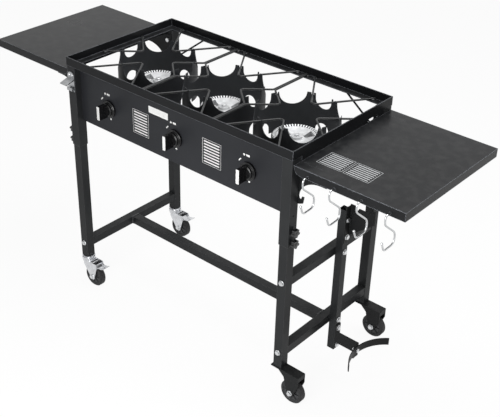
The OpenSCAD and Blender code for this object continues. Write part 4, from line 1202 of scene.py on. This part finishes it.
@dataclass
class Panel:
    """Printed marks, ruled plates and the knobs of the control panel."""

    bench: Bench
    repeater: Repeater
    face_y: float = -0.210
    knob_z: float = 0.722
    knob_front: float = -0.259
    film: float = 0.0002
    line: float = 0.0009
    rule_share: float = 0.84
    rule_weight: float = 0.42
    bar: tuple[float, float, float] = (0.0112, 0.0448, 0.0022)
    blank_corner: float = 0.002
    marks: tuple[Mark, ...] = (
        Mark("high_marks", 0.0125, 0.0062, 0.0014, -0.005, 0.767),
        Mark("off_dots", 0.0074, 0.0066, 0.0028, -0.019, 0.7665),
        Mark("low_ticks", 0.0120, 0.0036, 0.0012, -0.034, 0.746, math.radians(48)),
        Mark("foot_marks", 0.0066, 0.0048, 0.0012, 0.002, 0.687),
    )
    areas: tuple[Area, ...] = (
        Area("ruled_field_left", -0.180, -0.114, 0.679, 0.758, 8),
        Area("ruled_field_right", 0.107, 0.178, 0.682, 0.762, 8),
        Area("blank_plate", -0.111, -0.031, 0.768, 0.790, 0),
    )

    def build(self) -> None:
        """Dresses the knobs and stems, and adds the pointers, marks and printed areas."""
        for number, column in enumerate(BURNER_COLUMNS, 1):
            self.bench.dress_node(f"knob_{number}", Coats.KNOB)
            self.bench.dress_node(f"valve_stem_{number}", Coats.STEM)
            self._pointer(number, column * BURNER_PITCH)
        for mark in self.marks:
            self._mark(mark)
        for area in self.areas:
            if area.rules:
                self._ruled_field(area)
            else:
                self._blank_plate(area)

    @property
    def _print_y(self) -> float:
        """Where a print's back lies, sunk a little into the panel's face."""
        return self.face_y + self.film * 0.1

    def _upright(self, shape: bmesh.types.BMesh, x: float, z: float, y: float) -> None:
        """Stands a shape that lies in the XY plane up against the panel, facing the front.

        Args:
            shape: The shape.
            x: Where its middle goes along the panel.
            z: The height of its middle.
            y: Where its back goes.
        """
        stand = Matrix.Rotation(math.pi / 2, 3, "X")
        bmesh.ops.rotate(shape, verts=shape.verts, cent=(0, 0, 0), matrix=stand)
        bmesh.ops.translate(shape, verts=shape.verts, vec=(x, y, z))

    def _pointer(self, number: int, x: float) -> None:
        """Adds the white face of a knob's finger bar.

        Args:
            number: The knob's number.
            x: The knob's place along the panel.
        """
        shape = slab(oval(*self.bar), self.film)
        self._upright(shape, x, self.knob_z, self.knob_front + self.film * 0.25)
        mesh = mesh_from(shape, f"knob_{number}_pointer")
        self.bench.piece(mesh.name, mesh, Coats.WHITE, f"knob_{number}", "knob_plastic")

    def _mark(self, mark: Mark) -> None:
        """Adds a printed mark beside each knob.

        Args:
            mark: The mark.
        """
        outline = oval(mark.width, mark.height, mark.corner)
        item = mesh_from(slab(outline, self.film), mark.name + "_item")
        turn = tuple(Euler((math.pi / 2, -mark.tilt, 0.0), "XYZ"))
        places = [
            Place((column * BURNER_PITCH + mark.aside, self._print_y, mark.z), turn)
            for column in BURNER_COLUMNS
        ]
        mesh = self.repeater.run(mark.name, item, places, self.bench.coat(Coats.WHITE))
        self.bench.piece(mark.name, mesh, Coats.WHITE, Body.TOP.value, "panel_steel")

    def _blank_plate(self, area: Area) -> None:
        """Adds a white plate without any print.

        Args:
            area: Its name and edges.
        """
        outline = oval(area.right - area.left, area.high - area.low, self.blank_corner)
        shape = slab(outline, self.film)
        self._upright(shape, (area.left + area.right) / 2, (area.low + area.high) / 2, self._print_y)
        mesh = mesh_from(shape, area.name)
        self.bench.piece(area.name, mesh, Coats.WHITE, Body.TOP.value, "panel_steel")

    def _ruled_field(self, area: Area) -> None:
        """Adds a thin frame that is filled with plain rules.

        Args:
            area: Its name, edges and number of rules.
        """
        width, height = area.right - area.left, area.high - area.low
        x, z = area.left + width / 2, area.low + height / 2
        ruled = RuledField(width, height, area.rules, self.line, self.rule_share, self.rule_weight)
        upright = (math.pi / 2, 0.0, 0.0)
        places = [
            Place((x + across, self._print_y, z + up), upright, (wide, tall, self.film))
            for across, up, wide, tall in ruled.bars()
        ]
        block = unit_block(area.name + "_item")
        mesh = self.repeater.run(area.name, block, places, self.bench.coat(Coats.WHITE))
        self.bench.piece(area.name, mesh, Coats.WHITE, Body.TOP.value, "panel_steel")


@dataclass
class Shelves:
    """Coats the side shelves and hooks, and adds the ruled fields on the right shelf."""

    bench: Bench
    repeater: Repeater
    top: float = 0.811
    film: float = 0.0002
    line: float = 0.0012
    field_x: tuple[float, float] = (0.482, 0.647)
    field_y: tuple[float, float] = (-0.172, -0.102)
    gap: float = 0.006
    rules: int = 7
    rule_share: float = 0.86
    rule_weight: float = 0.40
    hooks: int = 4

    def build(self) -> None:
        """Dresses the solids and adds the fields."""
        for side in ("left", "right"):
            self.bench.dress_node(f"shelf_{side}", Coats.SHELF)
        for number in range(1, self.hooks + 1):
            self.bench.dress_node(f"hook_{number}", Coats.CHROME)
        places = self._ruled_fields()
        block = unit_block("shelf_rule_item")
        mesh = self.repeater.run("shelf_rules", block, places, self.bench.coat(Coats.LABEL))
        self.bench.piece("shelf_rules", mesh, Coats.LABEL, Body.SHELF_RIGHT.value, "shelf_steel")

    def _ruled_fields(self) -> list[Place]:
        """Lists the bars of two ruled fields side by side.

        Returns:
            A place for each bar.
        """
        (x0, x1), (y0, y1) = self.field_x, self.field_y
        width = (x1 - x0 - self.gap) / 2
        ruled = RuledField(width, y1 - y0, self.rules, self.line, self.rule_share, self.rule_weight)
        places = []
        for x in (x0 + width / 2, x1 - width / 2):
            for across, up, wide, tall in ruled.bars():
                where = (x + across, (y0 + y1) / 2 + up, self.top)
                places.append(Place(where, stretch=(wide, tall, self.film)))
        return places


@dataclass
class Undercarriage:
    """Coats the legs, bars, tank holder, brackets and casters, and adds their small parts."""

    bench: Bench
    repeater: Repeater
    leg: tuple[float, float] = (0.432, 0.215)
    leg_half: float = 0.015
    low_bolt: float = 0.166
    high_bolt: float = 0.421
    post_face: float = 0.471
    post_y: float = 0.0205
    plate: float = 0.003
    plate_bolts: tuple[float, ...] = (0.476, 0.535, 0.069, 0.135)
    washer: tuple[float, float, float] = (0.0088, 0.0013, 0.0004)
    bar_half: float = 0.0142
    bar_end: float = 0.4176
    bar_beads: int = 9
    bead_size: tuple[float, float, float] = (0.0026, 0.0024, 0.0024)
    bead_jitter: float = 0.15
    rib_count: int = 8
    rib: tuple[float, float, float] = (0.0150, 0.0022, 0.0009)
    rib_height: float = 0.0030
    rib_bevel: float = 0.0004
    rib_reach: float = 0.0195
    rib_depth: float = 0.0088
    clamp_levels: tuple[float, float] = (0.560, 0.596)
    cap_x: float = 0.0333
    wheels: dict[str, Body] = field(
        default_factory=lambda: {
            "wheel_front": Body.WHEEL_FRONT,
            "wheel_back": Body.WHEEL_BACK,
            "caster_front_wheel": Body.CASTER_FRONT_WHEEL,
            "caster_back_wheel": Body.CASTER_BACK_WHEEL,
        }
    )

    def build(self) -> None:
        """Dresses the solids and adds the small parts."""
        for node in self.bench.frame["nodes"]:
            if node.startswith("leg_") and node != "leg_sleeves":
                self.bench.dress_node(node, Coats.TUBE)
            elif node.startswith("clamp_"):
                self.bench.dress_node(node, Coats.CLAMP)
        for node in ("crossbars", "stretcher", "tank_post"):
            self.bench.dress_node(node, Coats.TUBE)
        for node in ("tank_hanger", "tank_arm", "tank_cradle", "wheel_brackets"):
            self.bench.dress_node(node, Coats.PLATE)
        for node in ("wheel_axles", "base_bolts"):
            self.bench.dress_node(node, Coats.ZINC)
        self.bench.dress_node("caster_stems", Coats.STAMPING)
        for side in ("front", "back"):
            self.bench.dress_node(f"caster_{side}_axle", Coats.ZINC)
            self.bench.dress_node(f"caster_{side}_fork", Coats.STAMPING)
            self.bench.dress_node(f"caster_{side}_brake", Coats.STAMPING)
        self._washers()
        self._stretcher_welds()
        self._wheel_ribs()
        self._clamp_caps()

    def _washers(self) -> None:
        """Adds a washer under each bolt head of the lower frame."""
        item = mesh_from(lathe(disc_profile(*self.washer), 28), "washer_item")
        x, y = self.leg
        face = y + self.leg_half
        aside = (0, math.pi / 2, 0)
        places = []
        for sy in (-1, 1):
            for at_x, z in ((-x, self.low_bolt), (x, self.low_bolt), (x, self.high_bolt)):
                places.append(Place((at_x, sy * face, z), (-sy * math.pi / 2, 0, 0)))
        for z in (self.low_bolt, self.high_bolt):
            places.append(Place((self.post_face, self.post_y, z), aside))
        for z in self.plate_bolts:
            places.append(Place((self.post_face + self.plate, self.post_y, z), aside))
        mesh = self.repeater.run("base_washers", item, places, self.bench.coat(Coats.ZINC))
        self.bench.piece("base_washers", mesh, Coats.ZINC, Body.BASE.value, "zinc_bolts")

    def _stretcher_welds(self) -> None:
        """Adds weld beads round both ends of the stretcher."""
        half = self.bar_half
        places = []
        for sx in (-1, 1):
            for k in range(self.bar_beads):
                off = ((k + 0.5) / self.bar_beads * 2 - 1) * half
                for y, z in ((off, half), (off, -half), (half, off), (-half, off)):
                    where = (sx * self.bar_end, y, self.low_bolt + z)
                    places.append(Place(where, stretch=self.bead_size))
        coat = self.bench.coat(Coats.WELD)
        mesh = self.repeater.run("stretcher_welds", weld_nugget(), places, coat, self.bead_jitter)
        self.bench.piece("stretcher_welds", mesh, Coats.WELD, Body.BASE.value, "black_steel")

    def _wheel_ribs(self) -> None:
        """Adds radial ribs in the recess on both sides of each wheel."""
        for node, body in self.wheels.items():
            low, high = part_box(node)
            hub = (low + high) / 2
            centre = hub - Vector((0, MIDDLE_Y, 0))
            finish = WheelRubber(f"{node}_rubber", tuple(hub))
            self.bench.dress_node(node, finish)
            rib = slab(oval(*self.rib, steps=3), self.rib_height, self.rib_bevel)
            item = mesh_from(rib, node + "_rib")
            places = []
            for side in (-1, 1):
                for k in range(self.rib_count):
                    spoke = Matrix.Rotation(2 * math.pi * k / self.rib_count, 3, "Y")
                    turn = spoke @ Matrix.Rotation(-side * math.pi / 2, 3, "X")
                    where = centre + spoke @ Vector((self.rib_reach, 0, 0))
                    where += Vector((0, side * self.rib_depth, 0))
                    places.append(Place(tuple(where), tuple(turn.to_euler("XYZ"))))
            name = f"{node}_ribs"
            mesh = self.repeater.run(name, item, places, self.bench.coat(finish))
            self.bench.piece(name, mesh, finish, body.value, "wheel_rubber")

    def _clamp_caps(self) -> None:
        """Adds the domed cap in the middle of each star knob."""
        x = self.leg[0] + self.cap_x
        dome = ((0.0066, -0.0004), (0.0066, 0.0003), (0.0057, 0.0010), (0.0034, 0.0015))
        profile = [(0.0, -0.0004), *dome, (0.0, 0.0017)]
        for end, sy in (("front", -1), ("back", 1)):
            for side, sx in (("left", -1), ("right", 1)):
                aside = Matrix.Rotation(sx * math.pi / 2, 3, "Y")
                for level, z in zip(("low", "high"), self.clamp_levels):
                    shape = lathe(profile, 32)
                    bmesh.ops.rotate(shape, verts=shape.verts, cent=(0, 0, 0), matrix=aside)
                    bmesh.ops.translate(shape, verts=shape.verts, vec=(sx * x, sy * self.leg[1], z))
                    name = f"clamp_{end}_{side}_{level}"
                    mesh = mesh_from(shape, name + "_cap")
                    self.bench.piece(mesh.name, mesh, Coats.CLAMP, name, "clamp_plastic")


@dataclass(frozen=True)
class Lamp:
    """A round soft lamp: where it hangs, what it points at, its size in metres and its watts."""

    name: str
    where: tuple[float, float, float]
    aim: tuple[float, float, float]
    size: float
    power: float


@dataclass
class Studio:
    """Pale floor, soft lamps and the camera."""

    azimuth: float = 39.738
    elevation: float = 31.740
    roll: float = 1.752
    lens: float = 69.80
    eye: tuple[float, float, float] = (1.78296, -2.00476, 2.04582)
    floor_size: float = 30.0
    floor_glow: float = 0.94
    daylight: float = 0.22
    lamps: tuple[Lamp, ...] = (
        Lamp("top_lamp", (0.5, 0.5, 3.2), (0.2, 0.0, 0.7), 2.4, 78.0),
        Lamp("front_lamp", (0.55, -1.35, 0.95), (0.35, -0.2, 0.5), 0.9, 17.0),
        Lamp("side_lamp", (2.8, 0.9, 1.9), (0.4, 0.1, 0.6), 1.0, 5.0),
    )

    def build(self) -> None:
        """Sets the stage."""
        self._floor()
        self._world()
        for lamp in self.lamps:
            self._hang(lamp)
        self._camera()
        bpy.context.scene.view_settings.view_transform = "Standard"

    @staticmethod
    def _seen(graph: Graph) -> Signal:
        """Marks the rays that look at the background directly, in gloss or through glass.

        Args:
            graph: The tree that asks.

        Returns:
            1 for such a ray, else 0.
        """
        path = graph.tree.nodes.new("ShaderNodeLightPath")
        camera = Signal(graph, path.outputs["Is Camera Ray"])
        gloss = Signal(graph, path.outputs["Is Glossy Ray"])
        through = Signal(graph, path.outputs["Is Transmission Ray"])
        return camera.math("MAXIMUM", gloss).math("MAXIMUM", through)

    def _floor(self) -> None:
        """Makes the pale floor, which keeps a soft shadow."""
        shape = bmesh.new()
        corners = rectangle(self.floor_size, self.floor_size)
        shape.faces.new([shape.verts.new((x, y, 0.0)) for x, y in corners])
        mesh = mesh_from(shape, "studio_floor", tidy=False)
        paint = Paint("studio_floor")
        paint.dress(Base_Color=(0.86, 0.86, 0.86), Roughness=0.9, Specular_IOR_Level=0.1)
        glow = paint.node("ShaderNodeEmission", {}, {"Color": (1.0, 1.0, 1.0), "Strength": 1.0})
        surface = Signal(paint, paint.surface.outputs[0])
        seen = self._seen(paint) * self.floor_glow
        mixed = paint.node("ShaderNodeMixShader", {}, {0: seen, 1: surface, 2: glow})
        output = next(n for n in paint.tree.nodes if n.type == "OUTPUT_MATERIAL")
        paint.feed(output.inputs[0], mixed)
        mesh.materials.append(paint.material)
        floor = bpy.data.objects.new("studio_floor", mesh)
        bpy.context.scene.collection.objects.link(floor)

    def _world(self) -> None:
        """Lights the scene evenly, with a white background."""
        world = bpy.data.worlds.new("studio")
        world.use_nodes = True
        graph = Graph(world.node_tree)
        graph.tree.nodes.clear()
        plain = (1.0, 1.0, 1.0)
        level = graph.node("ShaderNodeBackground", {}, {"Color": plain, "Strength": self.daylight})
        white = graph.node("ShaderNodeBackground", {}, {"Color": plain, "Strength": 1.0})
        mixed = graph.node("ShaderNodeMixShader", {}, {0: self._seen(graph), 1: level, 2: white})
        graph.feed(graph.tree.nodes.new("ShaderNodeOutputWorld").inputs[0], mixed)
        bpy.context.scene.world = world

    @staticmethod
    def _hang(lamp: Lamp) -> None:
        """Hangs one lamp.

        Args:
            lamp: The lamp.
        """
        light = bpy.data.lights.new(lamp.name, "AREA")
        light.shape = "DISK"
        light.size = lamp.size
        light.energy = lamp.power
        holder = bpy.data.objects.new(lamp.name, light)
        holder.location = lamp.where
        beam = Vector(lamp.aim) - Vector(lamp.where)
        holder.rotation_euler = beam.to_track_quat("-Z", "Y").to_euler()
        bpy.context.scene.collection.objects.link(holder)

    def _camera(self) -> None:
        """Puts the camera where the photograph was taken from."""
        az, el = math.radians(self.azimuth), math.radians(self.elevation)
        back = Vector((math.sin(az) * math.cos(el), -math.cos(az) * math.cos(el), math.sin(el)))
        camera = bpy.data.cameras.new("studio_camera")
        camera.lens = self.lens
        camera.sensor_width = 36.0
        camera.clip_start = 0.05
        holder = bpy.data.objects.new("studio_camera", camera)
        holder.location = Vector(self.eye) + Vector((0.0, MIDDLE_Y, 0.0))
        level = (-back).to_track_quat("-Z", "Y")
        holder.rotation_mode = "QUATERNION"
        holder.rotation_quaternion = level @ Euler((0, 0, math.radians(self.roll))).to_quaternion()
        bpy.context.scene.collection.objects.link(holder)
        bpy.context.scene.camera = holder


def main() -> None:
    """Builds the dressed cart in order and reports each piece."""
    logging.basicConfig(level=logging.INFO, format="%(message)s", stream=sys.stdout, force=True)
    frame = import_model()
    bench = Bench(frame)
    repeater = Repeater()
    Undercarriage(bench, repeater).build()
    CookingFrame(bench, repeater).build()
    outline = WindRing.tree()
    for number, column in enumerate(BURNER_COLUMNS, 1):
        WindRing(bench, number, column * BURNER_PITCH).build(outline)
        Burner(bench, number, column * BURNER_PITCH).build()
    Panel(bench, repeater).build()
    Shelves(bench, repeater).build()
    Studio().build()


if __name__ == "__main__":
    main()
